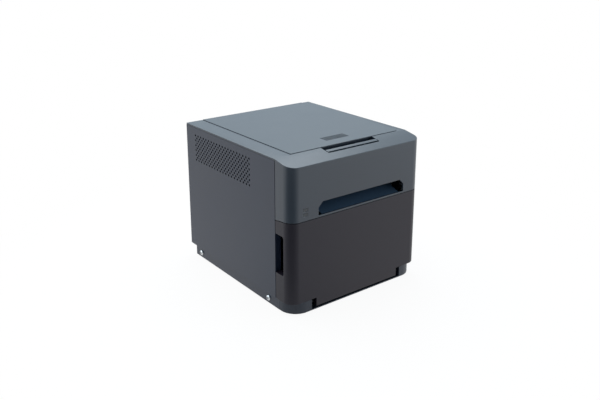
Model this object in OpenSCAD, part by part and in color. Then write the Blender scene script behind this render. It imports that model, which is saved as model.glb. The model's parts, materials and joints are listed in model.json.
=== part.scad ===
// Compact photo printer: a casing with a flat lid hinged at the rear, a print exit in the
// upper front and a media door hinged at the bottom. All sizes are in millimetres.
// X points right as seen from the front, the front faces -Y and Z points up.
// The origin is the centre of the footprint on the table.

/* [Casing] */
// Overall width
body_w = 228; // [224:1:250]
// Overall depth
body_d = 256; // [252:1:280]
// Overall height with the feet, to the top of the lid
body_h = 210; // [208:1:225]
// Radius of the two front vertical corners
corner_r = 15; // [11:1:18]
// Thickness of the moulded walls
wall_t = 2.5; // [2:0.1:3]
// Thickness of the sheet-metal panels
sheet_t = 1.2; // [0.8:0.1:1.4]
// Depth of the front mouldings, from the front to the seam on the side
cover_depth = 32; // [30:0.5:35]
// Fall of the sloped strip in front of the lid
front_drop = 6; // [3:0.5:7]
// Gap between neighbouring covers
seam_gap = 0.6; // [0.4:0.1:0.8]
// Sideways place of the lid, print exit and paper path
mech_x = 6.5; // [4:0.5:8]

/* [Base] */
// Height of the rubber feet
foot_h = 2; // [1.5:0.1:3]
// Diameter of the rubber feet
foot_d = 14; // [10:1:18]
// Height of the base's side walls above the table
base_h = 18; // [17:0.5:19]
// How far the base stands inside the casing at the sides
base_inset = 3; // [2:0.5:4]
// How far the base stands inside the casing at the rear
base_rear_inset = 10; // [6:1:12]
// Radius of the base's front corners
base_corner_r = 24; // [20:1:26]
// Diameter of the side screws' heads
screw_head_d = 8; // [6:0.5:9]

/* [Lid] */
// Width of the strip left of the lid
strip_left = 27.5; // [26:0.5:32]
// Width of the strip right of the lid
strip_right = 14.5; // [13:0.5:18]
// Distance of the lid's front edge behind the front
lid_setback = 35.5; // [34:0.5:38]
// Thickness of the lid's plate
lid_t = 2.6; // [2:0.1:3]
// Height of the lid's top above the strips beside it
lid_rise = 0.6; // [0:0.1:1]
// Width of the ribbed grip patch
grip_w = 40; // [30:1:50]
// Depth of the ribbed grip patch
grip_l = 15; // [12:1:18]
// Number of ribs in the grip patch
grip_ribs = 6; // [4:1:7]

/* [Latch] */
// Width of the latch slot in front of the lid
latch_w = 90; // [80:1:100]
// Finger gap between the lid and the latch bar
latch_finger_gap = 9; // [8:0.5:9.5]
// Thickness of the latch bar
latch_bar_t = 5; // [4:0.5:5.5]
// Travel space in front of the latch bar
latch_travel_gap = 3.2; // [3:0.1:3.5]
// Depth of the latch slot
latch_depth = 13; // [12:0.5:14]

/* [Print exit] */
// Width of the print exit
exit_w = 150; // [140:1:154]
// Height of the print exit
exit_h = 17.7; // [16:0.1:19]
// Size of the cut-off upper corners of the print exit
exit_chamfer = 7; // [5:0.5:8]
// Height of the bar below the print exit
exit_lip_h = 2.5; // [2:0.1:3]

/* [Front door] */
// Height of the upper cover above the door's seam
cover_h = 79.5; // [78:0.5:81]
// Height of the door's hinge axis
hinge_z = 12; // [11.5:0.1:12.2]
// Distance of the door's hinge axis behind the front
hinge_setback = 6; // [5.8:0.1:6.2]
// Left end of the door's low middle part
tongue_left = -71; // [-74:0.5:-68]
// Right end of the door's low middle part
tongue_right = 74; // [70:0.5:76]
// Height of the lower edge of the door's middle part
tongue_z = 6.5; // [6:0.1:7]
// Diameter of the door's hinge pins
door_pin_d = 3; // [2.5:0.1:3.5]
// Length of a finger recess along the side
recess_l = 17.4; // [16:0.2:18]
// Height of a finger recess
recess_h = 54; // [40:1:60]
// Distance of a finger recess's upper end below the seam
recess_drop = 20.5; // [16:0.5:26]
// Depth of a finger recess
recess_depth = 14; // [12:0.5:16]

/* [Vents] */
// Diameter of a vent hole
vent_d = 3.2; // [2.4:0.1:3.4]
// Spacing of the vent holes in a row
vent_pitch = 7.4; // [7:0.1:7.8]
// Rows of vent holes
vent_rows = 11; // [5:2:13]
// Holes in the longer rows
vent_columns = 20; // [10:1:21]
// Distance of the first hole in front of the rear
vent_rear = 26; // [22:1:30]
// Distance of the top row below the top
vent_top = 14; // [12:0.5:16]

/* [Paper path] */
// Width of the paper
paper_w = 114; // [110:1:115]
// Outer radius of the roll's core
core_r = 20; // [16:1:22]
// Height of the paper's path above the exit's lower edge
paper_rise = 9.7; // [9.5:0.1:10]
// Radius of the driven feed roller
feed_r = 6; // [5.5:0.1:6.2]
// Radius of the pinch roller
pinch_r = 5; // [4:0.1:5.2]
// Radius of the platen roller below the thermal head
platen_r = 7; // [6:0.1:7.2]
// Radius of the full supply ribbon
supply_r = 22; // [16:1:22]
// Radius of the used ribbon on the take-up core
takeup_r = 16; // [13:1:17]
// Outer radius of the ribbon cores
ribbon_core_r = 12; // [10:0.5:12]

/* [Drive] */
// Width of the gears
gear_t = 5; // [4:0.5:6]
// Angle of the gear train from the feed roller to the motor
train_angle = -16; // [-18:1:-14]
// Side of the stepper motor
motor_w = 42; // [38:1:42]
// Side of the cooling fan
fan_w = 60; // [50:1:60]

/* [Hidden] */
$fn = 96;
eps = 0.01;
slip = 0.3;              // clearance between pieces that pass each other
bore_gap = 0.06;         // radial clearance of a running fit

// Faces of the casing
half_w = body_w / 2;
front_y = -body_d / 2;
rear_y = body_d / 2;
seam_y = front_y + cover_depth;
frame_top = body_h - lid_rise;
frame_t = 2.6;           // thickness of the casing's top strips
panel_bottom = base_h + slip;
panel_top = frame_top - frame_t;
rear_face = rear_y - 1.2; // the rear panel stands inside the casing's edge
side_flange = 9;         // the side panels' flanges at the seam and the rear
bottom_flange = base_inset + 3;

// Base
floor_z = foot_h + sheet_t;
base_half_w = half_w - base_inset;
base_front = front_y + 0.8;
pan_front = front_y + 27.4;
pan_rear = rear_y - base_rear_inset;
bezel_top = base_h - 0.2;
notch_w = 7;             // open notch between the door's middle part and a corner post
lip_z = foot_h + 1.5;    // top of the low lip below the door
screw_z = 9.4;
screw_ys = [pan_rear - 16, pan_front + 25];
screw_shank_r = 1.9;
screw_head_h = 2.4;
screw_l = 5;
foot_inset = 14;

// Door and the arc seam above it: the door's upper edge is concentric with its hinge
seam_z = body_h - cover_h;
hinge_y = front_y + hinge_setback;
door_arc_r = seam_z - hinge_z - seam_gap / 2;
cover_arc_r = door_arc_r + seam_gap;
door_bottom = base_h + slip;
barrel_r = 4;
recess_z = seam_z - recess_drop - recess_h;

// Lid
lid_left = -half_w + strip_left;
lid_right = half_w - strip_right;
lid_w = lid_right - lid_left;
lid_front = front_y + lid_setback;
lid_rear = rear_y - slip;
lid_under = body_h - lid_t;
lid_axis_y = rear_y - 4.5;
lid_axis_z = body_h - 4.5;
knuckle_r = 3.6;
lid_pin_r = 1.5;
knuckle_w = 8;
lug_w = 4.6;             // fixed lugs beside the lid that hold its hinge pins
lid_clear_r = 6.8;       // nothing fixed stands nearer than this to the lid's hinge axis
grip_y = front_y + 62.5; // middle of the ribbed patch
grip_x = mech_x + 1.5;

// Latch
latch_left = mech_x - latch_w / 2;
latch_right = mech_x + latch_w / 2;
latch_rear = lid_front - seam_gap;
bar_rear = latch_rear - latch_finger_gap;
bar_front = bar_rear - latch_bar_t;
latch_front = bar_front - latch_travel_gap;
latch_floor = body_h - latch_depth;
latch_axis_y = (bar_rear + bar_front) / 2;
latch_axis_z = latch_floor + 4;
latch_shaft_r = 2;
latch_corner_r = 2.5;     // rounded front corners of the slot
latch_end_gap = 1;        // room beside the bar's ends

// Print exit and paper plane
exit_left = mech_x - exit_w / 2;
exit_right = mech_x + exit_w / 2;
exit_z = hinge_z + cover_arc_r + exit_lip_h;
paper_z = exit_z + paper_rise;
chute_left = exit_left + 7;
chute_right = exit_right - 7;
chute_rear = front_y + 23.3;
guide_t = 1.6;           // thickness of the exit's guides
lens_x = -half_w + 21;
lens_zs = [exit_z + 12.3, exit_z + 5.9];
lens_w = 7;
lens_h = 3.8;

// Chassis plates
plate_t = 1.5;
frame_half = paper_w / 2 + 13;
plate_left = mech_x - frame_half;        // inner faces of the plates
plate_right = mech_x + frame_half;
plate_front = pan_front + 2;
plate_rear = rear_y - 14;
plate_top = lid_under - 11.4;
plate_foot_w = 10;       // feet bent outwards along the plates' lower edges
tie_rod_r = 4;
cutter_front = front_y + 18;

// Rollers and spools
roll_y = front_y + 76;
deck_z = exit_z - 15.3;  // underside of the deck above the roll
roll_lift = 14.3;        // room for the door's ribs and the cradles below the roll
roll_flange_r = (deck_z - floor_z - roll_lift - 3.5) / 2;
roll_r = roll_flange_r - 2.5;
roll_z = floor_z + roll_lift + roll_flange_r;
roll_axle_r = 6;
core_bore_r = core_r - 2.5;
feed_y = front_y + 70;
feed_z = paper_z - feed_r;
pinch_z = paper_z + slip + pinch_r;
platen_y = front_y + 104;
platen_z = paper_z - platen_r;
journal_r = 4;
pinch_journal_r = 2.5;
roller_half = frame_half - 4;
takeup_y = front_y + 56;
takeup_z = plate_top - 18;
supply_y = (platen_y + plate_rear) / 2 - 15;
supply_z = plate_top - 30;
spool_journal_r = 4;
core_hole_r = 6;
ribbon_half = paper_w / 2 + 1;
core_half = ribbon_half + 3;
core_plug_l = 12;        // how far the cores' end plugs reach below the ribbon

// Gear train on the left plate, ribbon drive on the right plate
gear_module = 1.5;
feed_teeth = 22;
idler_teeth = 36;        // an even number, so that the train meshes
pinion_teeth = 14;
feed_gear_r = gear_module * feed_teeth / 2;
idler_gear_r = gear_module * idler_teeth / 2;
pinion_gear_r = gear_module * pinion_teeth / 2;
gear_side = 2;
gear_x = plate_left - plate_t - gear_side - gear_t;
idler_y = feed_y + (feed_gear_r + idler_gear_r) * cos(train_angle);
idler_z = feed_z + (feed_gear_r + idler_gear_r) * sin(train_angle);
train_l = feed_gear_r + 2 * idler_gear_r + pinion_gear_r;
motor_y = feed_y + train_l * cos(train_angle);
motor_z = feed_z + train_l * sin(train_angle);
motor_l = 34;
motor_boss_r = 11;
motor_shaft_r = 2.5;
idler_post_r = 3;
right_room = half_w - sheet_t - plate_right - plate_t;   // beside the right plate
ribbon_gear_x = plate_right + plate_t + gear_side;
ribbon_angle = -25;
ribbon_drive_l = feed_gear_r + pinion_gear_r;
ribbon_motor_y = takeup_y + ribbon_drive_l * cos(ribbon_angle);
ribbon_motor_z = takeup_z + ribbon_drive_l * sin(ribbon_angle);
ribbon_plate_x = ribbon_gear_x + gear_t + 2;
ribbon_motor_r = 12;
ribbon_shaft_r = 1.6;
ribbon_boss_r = 4;
ribbon_motor_l = right_room - 14.8;

// Thermal head, carried by the lid
head_half = paper_w / 2 + 3;
head_front = platen_y - 10;
head_rear = platen_y + 10;
head_z = paper_z + 0.5;
head_h = 14;
sink_h = 26;
sink_base_t = 3;
bracket_t = 2;
bracket_in = head_half + 1;   // inner faces of the bracket's side plates
bracket_out = bracket_in + bracket_t;
trunnion_r = 2;
spring_x = head_half - 10;    // from the middle of the paper path
spring_r = 3.6;

// Cutter
cutter_y = chute_rear + 3.4;  // cutting plane
blade_t = 1;
disc_r = 7;
cutter_rod_y = front_y + 36;
cutter_rod_z = paper_z + 15;
cutter_rod_r = 3;
carriage_w = 14;
carriage_x = plate_left + disc_r + 0.5;   // parked beside the paper
disc_z = paper_z + disc_r - 2.5;

// Rear connectors
fan_x = mech_x;
fan_z = body_h - 60;
fan_t = 20;
fan_seat_t = 5;           // the frame's motor seat, in front of the grille
fan_hub_r = 14;
fan_pin_r = 1.5;
fan_blades = 7;
inlet_z = 45;
inlet_w = 27;
inlet_x = plate_left - plate_t - 1 - inlet_w / 2;   // beside the left plate
inlet_h = 20;
switch_z = 82;
rocker_w = 13;
rocker_h = 19;
rocker_tilt = 10;
rocker_depth = 6;         // depth of the rocker's pivots
rocker_pin_r = 1;
usb_z = 45;
usb_w = 12;
usb_h = 11;

rear_screw_x = half_w - 5;
rear_screw_d = 5.6;
rear_shank_r = 1.5;
rear_screw_zs = [panel_bottom + 20, panel_top - 26];

// Electronics
board_x = plate_right + plate_t + 0.4 * right_room;
part_h = 0.4 * right_room;    // the tallest parts on the board
usb_x = board_x;              // the data socket stands on the board's rear edge
board_t = 1.6;
board_low = 30;
board_high = plate_top - 56;
board_front = front_y + 70;
board_rear = rear_y - 18;
board_hole_in = 6;        // inset of the board's fixing holes
psu_front = rear_y - 90;
psu_rear = rear_y - 20;
psu_half = paper_w / 2 - 3;
psu_top = 62;

// ---- helpers ----

// Round bar along X
module rod_x(r, x_from, x_to, y, z) {
    translate([x_from, y, z])
        rotate([0, 90, 0]) cylinder(h = x_to - x_from, r = r);
}

// Round bar along Y
module rod_y(r, y_from, y_to, x, z) {
    translate([x, y_to, z])
        rotate([90, 0, 0]) cylinder(h = y_to - y_from, r = r);
}

// Box given by its two corners
module block(low, high) {
    translate(low) cube(high - low);
}

// Outline drawn in Y and Z, drawn out along X
module extrude_x(x_from, x_to) {
    translate([x_from, 0, 0])
        rotate([90, 0, 90]) linear_extrude(x_to - x_from) children();
}

// Outline drawn in X and Z, drawn out along Y
module extrude_y(y_from, y_to) {
    translate([0, y_to, 0])
        rotate([90, 0, 0]) linear_extrude(y_to - y_from) children();
}

// Both sides of the paper path
module both_ends() {
    for (side = [-1, 1])
        translate([mech_x, 0, 0]) mirror([side < 0 ? 1 : 0, 0, 0]) children();
}

// Casing outline seen from above, with two round front corners
module casing_plan(inset, r, y_back) {
    x = half_w - inset;
    y = front_y + inset;
    translate([-x, y + r]) square([2 * x, y_back - y - r]);
    translate([-x + r, y]) square([2 * x - 2 * r, r + eps]);
    for (side = [-1, 1])
        translate([side * (x - r), y + r]) circle(r);
}

// Base outline seen from above, with its larger front corners
module base_plan(inset, y_back) {
    x = base_half_w - inset;
    y = base_front + inset;
    r = base_corner_r - inset;
    translate([-x, y + r]) square([2 * x, y_back - y - r]);
    translate([-x + r, y]) square([2 * x - 2 * r, r + eps]);
    for (side = [-1, 1])
        translate([side * (x - r), y + r]) circle(r);
}

// Involute spur gear, seen along its axis, with one tooth on the first axis
function roll_angle(base, r) = r <= base ? 0 : acos(base / r);
function involute_angle(base, r) = tan(roll_angle(base, r)) * 180 / PI - roll_angle(base, r);
function flank_angle(teeth, r, play) =
    let (pitch = gear_module * teeth / 2, base = pitch * cos(20))
    90 / teeth - play + involute_angle(base, pitch) - involute_angle(base, r);

module gear_outline(teeth, play = 0.5) {
    pitch = gear_module * teeth / 2;
    base = pitch * cos(20);
    root = pitch - 1.25 * gear_module;
    tip = pitch + 0.9 * gear_module;
    radii = [root, max(base, root + 0.2), pitch, (pitch + tip) / 2, tip];
    last = len(radii) - 1;
    polygon([
        for (tooth = [0 : teeth - 1])
            for (i = [0 : 2 * last + 1])
                let (
                    k = i <= last ? i : 2 * last + 1 - i,
                    side = i <= last ? -1 : 1,
                    a = 360 * tooth / teeth + side * flank_angle(teeth, radii[k], play)
                )
                radii[k] * [cos(a), sin(a)]
    ]);
}

module gear_x(teeth, turn, x_from, y, z, bore) {
    pitch = gear_module * teeth / 2;
    rim = 4;
    hub = 4;
    web_cut = 1;
    hole_r = 4;
    translate([0, y, z]) difference() {
        extrude_x(x_from, x_from + gear_t) rotate(turn) gear_outline(teeth);
        rod_x(bore, x_from - 1, x_from + gear_t + 1, 0, 0);
        // the web is thinner than the toothed rim
        if (pitch > 14)
            for (x = [x_from - web_cut, x_from + gear_t - web_cut])
                difference() {
                    rod_x(pitch - rim, x, x + 2 * web_cut, 0, 0);
                    rod_x(bore + hub, x - 1, x + 3, 0, 0);
                }
        // lightening holes in the web
        if (pitch > 20)
            for (a = [0 : 60 : 359])
                rod_x(hole_r, x_from - 1, x_from + gear_t + 1,
                      pitch * 0.55 * cos(a), pitch * 0.55 * sin(a));
    }
}

// ---- base ----

module base_pan() {
    color("#3b4048") difference() {
        union() {
            block([-base_half_w, pan_front, foot_h], [base_half_w, pan_rear, floor_z]);
            for (x = [-base_half_w, base_half_w - sheet_t])
                block([x, pan_front, foot_h], [x + sheet_t, pan_rear, base_h]);
            block([-base_half_w, pan_rear - sheet_t, foot_h], [base_half_w, pan_rear, base_h]);
            // raised beads of the floor, below the paper roll
            for (side = [-1, 1])
                translate([mech_x + side * paper_w / 3, pan_front + 30, floor_z - eps])
                    cube([8, 30, 0.6]);
        }
        for (y = screw_ys)
            rod_x(screw_shank_r + 0.1, -base_half_w - 1, -base_half_w + sheet_t + 1, y, screw_z);
        for (y = screw_ys)
            rod_x(screw_shank_r + 0.1, base_half_w - sheet_t - 1, base_half_w + 1, y, screw_z);
        // air slots in the floor below the power supply
        for (i = [0 : 7])
            block([mech_x - 45 + i * 12, psu_front + 15, foot_h - 1],
                  [mech_x - 41 + i * 12, psu_rear - 15, floor_z + 1]);
    }
}

// Corner posts and low lip below the door
module base_bezel() {
    post_left = tongue_left - notch_w;
    post_right = tongue_right + notch_w;
    color("#3e434c") difference() {
        intersection() {
            translate([0, 0, foot_h])
                linear_extrude(bezel_top - foot_h) base_plan(0, pan_front - slip);
            block([-half_w, front_y, 0], [half_w, pan_front - slip, bezel_top]);
        }
        // hollow posts
        intersection() {
            translate([0, 0, lip_z]) linear_extrude(body_h) base_plan(wall_t, rear_y);
            union() {
                block([-half_w, front_y, lip_z], [post_left - wall_t, rear_y, bezel_top - wall_t]);
                block([post_right + wall_t, front_y, lip_z], [half_w, rear_y, bezel_top - wall_t]);
            }
        }
        // space for the door's middle part, with cut-away corners at the posts
        extrude_y(front_y - 1, pan_front)
            polygon([
                [tongue_left - 1, lip_z], [tongue_right + 1, lip_z],
                [post_right, lip_z + 7], [post_right, base_h + 1],
                [post_left, base_h + 1], [post_left, lip_z + 7]
            ]);
        block([post_left, hinge_y - barrel_r - 3, lip_z],
              [post_right, pan_front, base_h + 1]);
        for (x = [post_left - wall_t - 1, post_right - 1])
            rod_x(door_pin_d / 2, x, x + wall_t + 2, hinge_y, hinge_z);
    }
}

module rubber_feet() {
    color("#17181a")
        for (side = [-1, 1])
            for (y = [pan_front + foot_inset, pan_rear - foot_inset])
                translate([side * (base_half_w - foot_inset), y, 0]) rotate_extrude()
                    polygon([
                        [0, 0], [foot_d / 2 - 0.8, 0], [foot_d / 2, 0.8],
                        [foot_d / 2, foot_h], [0, foot_h]
                    ]);
}

// Pan-head screw pointing along +X, its head's seat at the origin
module pan_screw(head_d, head_h, shank_r, shank_l) {
    r = head_d / 2;
    rotate([0, 90, 0]) difference() {
        union() {
            rotate_extrude() polygon([
                [0, -head_h], [r * 0.6, -head_h * 0.95], [r * 0.88, -head_h * 0.7],
                [r, -head_h * 0.35], [r, 0], [0, 0]
            ]);
            cylinder(h = shank_l, r = shank_r);
        }
        // cross recess
        for (turn = [0, 90])
            rotate(turn) translate([-r * 0.55, -r * 0.12, -head_h - 1])
                cube([r * 1.1, r * 0.24, head_h * 0.5 + 1]);
    }
}

module side_screws() {
    color("#c9cbcd")
        for (y = screw_ys) {
            translate([-base_half_w, y, screw_z])
                pan_screw(screw_head_d, screw_head_h, screw_shank_r, screw_l);
            translate([base_half_w, y, screw_z]) mirror([1, 0, 0])
                pan_screw(screw_head_d, screw_head_h, screw_shank_r, screw_l);
        }
}

// ---- panels ----

// Field of staggered vent holes, drawn in Y and Z
module vent_field() {
    for (row = [0 : vent_rows - 1])
        for (column = [0 : vent_columns - 1 - row % 2])
            translate([
                rear_y - vent_rear - (column + (row % 2) / 2) * vent_pitch,
                frame_top - vent_top - row * vent_pitch / 2
            ]) circle(r = vent_d / 2, $fn = 24);
}

module side_panel() {
    y_from = seam_y + seam_gap / 2;
    extrude_x(-half_w, -half_w + sheet_t) difference() {
        translate([y_from, panel_bottom]) square([rear_y - y_from, panel_top - panel_bottom]);
        vent_field();
    }
    // flanges bent inwards at the seam, the rear and the bottom
    block([-half_w, y_from, panel_bottom], [-half_w + side_flange, y_from + sheet_t, panel_top]);
    difference() {
        block([-half_w, rear_face - 2 * sheet_t, panel_bottom],
              [-half_w + side_flange, rear_face - sheet_t, panel_top]);
        for (z = rear_screw_zs)
            rod_y(rear_shank_r + 0.1, rear_face - 3 * sheet_t, rear_face, -rear_screw_x, z);
    }
    block([-half_w, y_from, panel_bottom],
          [-half_w + bottom_flange, rear_face - sheet_t, panel_bottom + sheet_t]);
}

module left_side_panel() {
    color("#4b525b") side_panel();
}

module right_side_panel() {
    color("#4b525b") mirror([1, 0, 0]) side_panel();
}

module rear_panel() {
    half = half_w - sheet_t - 0.2;
    lid_gap = body_h - lid_axis_z + lid_clear_r;
    ring_w = 4;
    ring_pitch = 6;
    slot_l = 28;
    slot_h = 3.2;
    slot_pitch = 8;
    color("#4b525b") {
        extrude_y(rear_face - sheet_t, rear_face) difference() {
            translate([-half, panel_bottom]) square([2 * half, panel_top - panel_bottom]);
            // room for the hinge lugs and for the lid's rear edge when it swings down
            translate([lid_left - lug_w - 1, body_h - lid_gap])
                square([lid_w + 2 * lug_w + 2, lid_gap]);
            // grille in front of the fan: ring slots broken by four spokes
            translate([fan_x, fan_z]) for (k = [0 : 3]) difference() {
                circle(fan_w / 2 - ring_w - ring_pitch * k);
                circle(fan_w / 2 - 2 * ring_w - ring_pitch * k);
                for (turn = [45, 135])
                    rotate(turn) square([fan_w, 3], center = true);
            }
            translate([inlet_x - inlet_w / 2, inlet_z - inlet_h / 2])
                square([inlet_w, inlet_h]);
            translate([inlet_x - rocker_w / 2 - 1, switch_z - rocker_h / 2 - 1])
                square([rocker_w + 2, rocker_h + 2]);
            translate([usb_x - usb_w / 2, usb_z - usb_h / 2]) square([usb_w, usb_h]);
            // cooling slots beside the fan
            for (side = [-1, 1])
                for (i = [0 : 5])
                    translate([mech_x + side * 62 - slot_l / 2, fan_z - 22 + i * slot_pitch])
                        square([slot_l, slot_h]);
            for (side = [-1, 1])
                for (z = rear_screw_zs)
                    translate([side * rear_screw_x, z]) circle(rear_shank_r + 0.1);
        }
        // lower flange above the base
        block([-half_w + side_flange + slip, pan_rear, panel_bottom],
              [half_w - side_flange - slip, rear_face - eps, panel_bottom + sheet_t]);
    }
}

module rear_screws() {
    color("#c9cbcd")
        for (side = [-1, 1])
            for (z = rear_screw_zs)
                translate([side * rear_screw_x, rear_face, z]) rotate(-90)
                    pan_screw(rear_screw_d, 1.1, rear_shank_r, 4);
}

// ---- upper cover and lid ----

// Casing seen from the side, with the sloped strip at the front
module cover_side(lower) {
    polygon([
        [front_y - 1, frame_top - front_drop - lower - front_drop / cover_depth],
        [seam_y, frame_top - lower], [rear_y + 1, frame_top - lower],
        [rear_y + 1, -1], [front_y - 1, -1]
    ]);
}

// Solid bounded by the casing's sides and top, set in by a wall
module cover_solid(inset, lower, y_back) {
    intersection() {
        linear_extrude(body_h + 1) casing_plan(inset, corner_r - inset, y_back);
        extrude_x(-half_w - 1, half_w + 1) cover_side(lower);
    }
}

// Print exit seen from the front
module exit_outline() {
    polygon([
        [exit_left, exit_z], [exit_right, exit_z],
        [exit_right, exit_z + exit_h - exit_chamfer], [exit_right - exit_chamfer, exit_z + exit_h],
        [exit_left + exit_chamfer, exit_z + exit_h], [exit_left, exit_z + exit_h - exit_chamfer]
    ]);
}

// Latch slot seen from above, its front corners rounded
module latch_slot() {
    r = latch_corner_r;
    translate([latch_left, latch_front + r]) square([latch_w, latch_rear - latch_front - r]);
    translate([latch_left + r, latch_front]) square([latch_w - 2 * r, r + eps]);
    for (x = [latch_left + r, latch_right - r])
        translate([x, latch_front + r]) circle(r);
}

module upper_front_cover() {
    tub_t = 1.5;
    ledge = 3;
    color("#4b535d") difference() {
        union() {
            difference() {
                cover_solid(0, 0, rear_y);
                cover_solid(wall_t, frame_t, rear_y + 2);
                // the front walls end at the side seam, the top strips run on to the rear
                block([-half_w - 1, seam_y - seam_gap / 2, -1],
                      [half_w + 1, rear_y + 1, panel_top]);
                // lid opening
                block([lid_left - seam_gap, lid_front - seam_gap, panel_top - 1],
                      [lid_right + seam_gap, rear_y + 1, body_h + 1]);
            }
            // ledges below the lid's side edges
            for (x = [lid_left - seam_gap, lid_right + seam_gap - ledge])
                block([x, lid_front - seam_gap, lid_under - slip - 2],
                      [x + ledge, lid_axis_y - lid_clear_r - 2, lid_under - slip]);
            for (x = [lid_left - seam_gap - tub_t, lid_right + seam_gap])
                block([x, lid_front, lid_under - slip - 2],
                      [x + tub_t, rear_y - 2, frame_top - frame_t + eps]);
            // ledge below the lid's front edge
            block([lid_left - seam_gap, lid_front - seam_gap - tub_t, lid_under - slip - 2],
                  [lid_right + seam_gap, lid_front + ledge - seam_gap, lid_under - slip]);
            block([lid_left - seam_gap, lid_front - seam_gap - tub_t, lid_under - slip - 2],
                  [lid_right + seam_gap, lid_front - seam_gap, panel_top + eps]);
            // tub of the latch slot
            intersection() {
                block([latch_left - tub_t, latch_front - tub_t, latch_floor - tub_t],
                      [latch_right + tub_t, latch_rear + tub_t, lid_under - slip]);
                extrude_x(-half_w, half_w) cover_side(0.2);
                block([-half_w, front_y, 0], [half_w, lid_front - seam_gap + ledge, body_h]);
            }
            // lugs that hold the lid's hinge pins
            for (x = [lid_left - seam_gap - lug_w, lid_right + seam_gap])
                pin_lug(x, x + lug_w);
            // ribs behind the front wall, beside the print exit
            for (x = [exit_left - 8, exit_right + 6])
                block([x, front_y + wall_t - eps, exit_z + 2],
                      [x + 2, front_y + wall_t + 6, frame_top - front_drop - frame_t]);
        }
        // latch slot
        translate([0, 0, latch_floor]) linear_extrude(latch_depth + 1) latch_slot();
        rod_x(latch_shaft_r + bore_gap, latch_left - tub_t - 1, latch_right + tub_t + 1,
              latch_axis_y, latch_axis_z);
        // the lower edge follows an arc around the door's hinge
        rod_x(cover_arc_r, -half_w - 1, half_w + 1, hinge_y, hinge_z);
        extrude_y(front_y - 1, front_y + wall_t + 1) exit_outline();
        for (z = lens_zs)
            block([lens_x, front_y - 1, z - lens_h / 2],
                  [lens_x + lens_w, front_y + wall_t + 1, z + lens_h / 2]);
        for (x = [lid_left - seam_gap - 6, lid_right + seam_gap - 1])
            rod_x(lid_pin_r, x, x + 7, lid_axis_y, lid_axis_z);
    }
}

// Round-ended lug under a top strip, carrying a hinge pin
module pin_lug(x_from, x_to) {
    rod_x(knuckle_r, x_from, x_to, lid_axis_y, lid_axis_z);
    block([x_from, lid_axis_y - knuckle_r, lid_axis_z],
          [x_to, lid_axis_y + knuckle_r, panel_top + eps]);
}

module lid_hinge_pins() {
    color("#b9bbbd") {
        rod_x(lid_pin_r, lid_left - seam_gap - lug_w, lid_left + knuckle_w,
              lid_axis_y, lid_axis_z);
        rod_x(lid_pin_r, lid_right - knuckle_w, lid_right + seam_gap + lug_w,
              lid_axis_y, lid_axis_z);
    }
}

module top_cover() {
    skirt_t = 1.5;
    skirt_h = 4;
    skirt_in = 6;
    rib_pitch = grip_l / grip_ribs;
    color("#4f5861") difference() {
        union() {
            block([lid_left, lid_front, lid_under], [lid_right, lid_rear, body_h]);
            // stiffening skirt inside the ledge
            for (x = [lid_left + skirt_in, lid_right - skirt_in - skirt_t])
                block([x, lid_front + skirt_in, lid_under - skirt_h],
                      [x + skirt_t, lid_axis_y - 8, lid_under + eps]);
            for (y = [lid_front + skirt_in, lid_axis_y - 8 - skirt_t])
                block([lid_left + skirt_in, y, lid_under - skirt_h],
                      [lid_right - skirt_in, y + skirt_t, lid_under + eps]);
            // hinge knuckles
            for (x = [lid_left + slip, lid_right - knuckle_w - slip]) {
                rod_x(knuckle_r, x, x + knuckle_w, lid_axis_y, lid_axis_z);
                block([x, lid_axis_y - knuckle_r, lid_axis_z],
                      [x + knuckle_w, lid_axis_y + knuckle_r, lid_under + eps]);
            }
            // rear edge turned down behind the hinge
            block([lid_left, lid_rear - 1.2, lid_axis_z - 1.5],
                  [lid_right, lid_rear, body_h]);
        }
        for (x = [lid_left, lid_right - knuckle_w - 1])
            rod_x(lid_pin_r + bore_gap, x - eps, x + knuckle_w + 1 + eps,
                  lid_axis_y, lid_axis_z);
        // grooves between the ribs of the grip patch
        for (i = [0 : grip_ribs - 1])
            block([grip_x - grip_w / 2, grip_y - grip_l / 2 + i * rib_pitch, body_h - 0.8],
                  [grip_x + grip_w / 2, grip_y - grip_l / 2 + (i + 0.55) * rib_pitch, body_h + 1]);
    }
}

module latch_lever() {
    hook_x = latch_w / 2 + 3;
    color("#59626c") {
        difference() {
            union() {
                // bar seen in the slot, its top following the sloped strip
                intersection() {
                    block([latch_left + latch_end_gap, bar_front, latch_axis_z],
                          [latch_right - latch_end_gap, bar_rear, body_h]);
                    extrude_x(-half_w, half_w) cover_side(0.1);
                }
                rod_x(latch_bar_t / 2, latch_left + latch_end_gap, latch_right - latch_end_gap,
                      latch_axis_y, latch_axis_z);
            }
            // hollow back of the bar, towards the lid
            block([latch_left + 3, bar_front + 1.6, latch_axis_z + 3.5],
                  [latch_right - 3, bar_rear - 1.4, latch_axis_z + 5.5]);
        }
        rod_x(latch_shaft_r, mech_x - hook_x - 6, mech_x + hook_x + 6,
              latch_axis_y, latch_axis_z);
        // hooks outside the tub, reaching back towards the lid
        both_ends() {
            rod_x(4, hook_x, hook_x + 5, latch_axis_y, latch_axis_z);
            extrude_x(hook_x, hook_x + 5) polygon([
                [latch_axis_y, latch_axis_z - 3.5], [lid_front - 1, latch_axis_z - 4.5],
                [lid_front + 1.5, latch_axis_z - 1.8], [lid_front - 1, latch_axis_z - 0.6],
                [latch_axis_y, latch_axis_z + 2.5]
            ]);
        }
    }
}

module status_lenses() {
    color("#2b3036")
        for (z = lens_zs)
            block([lens_x + 0.05, front_y + 0.2, z - lens_h / 2 + 0.05],
                  [lens_x + lens_w - 0.05, front_y + wall_t + 0.8, z + lens_h / 2 - 0.05]);
}

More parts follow.
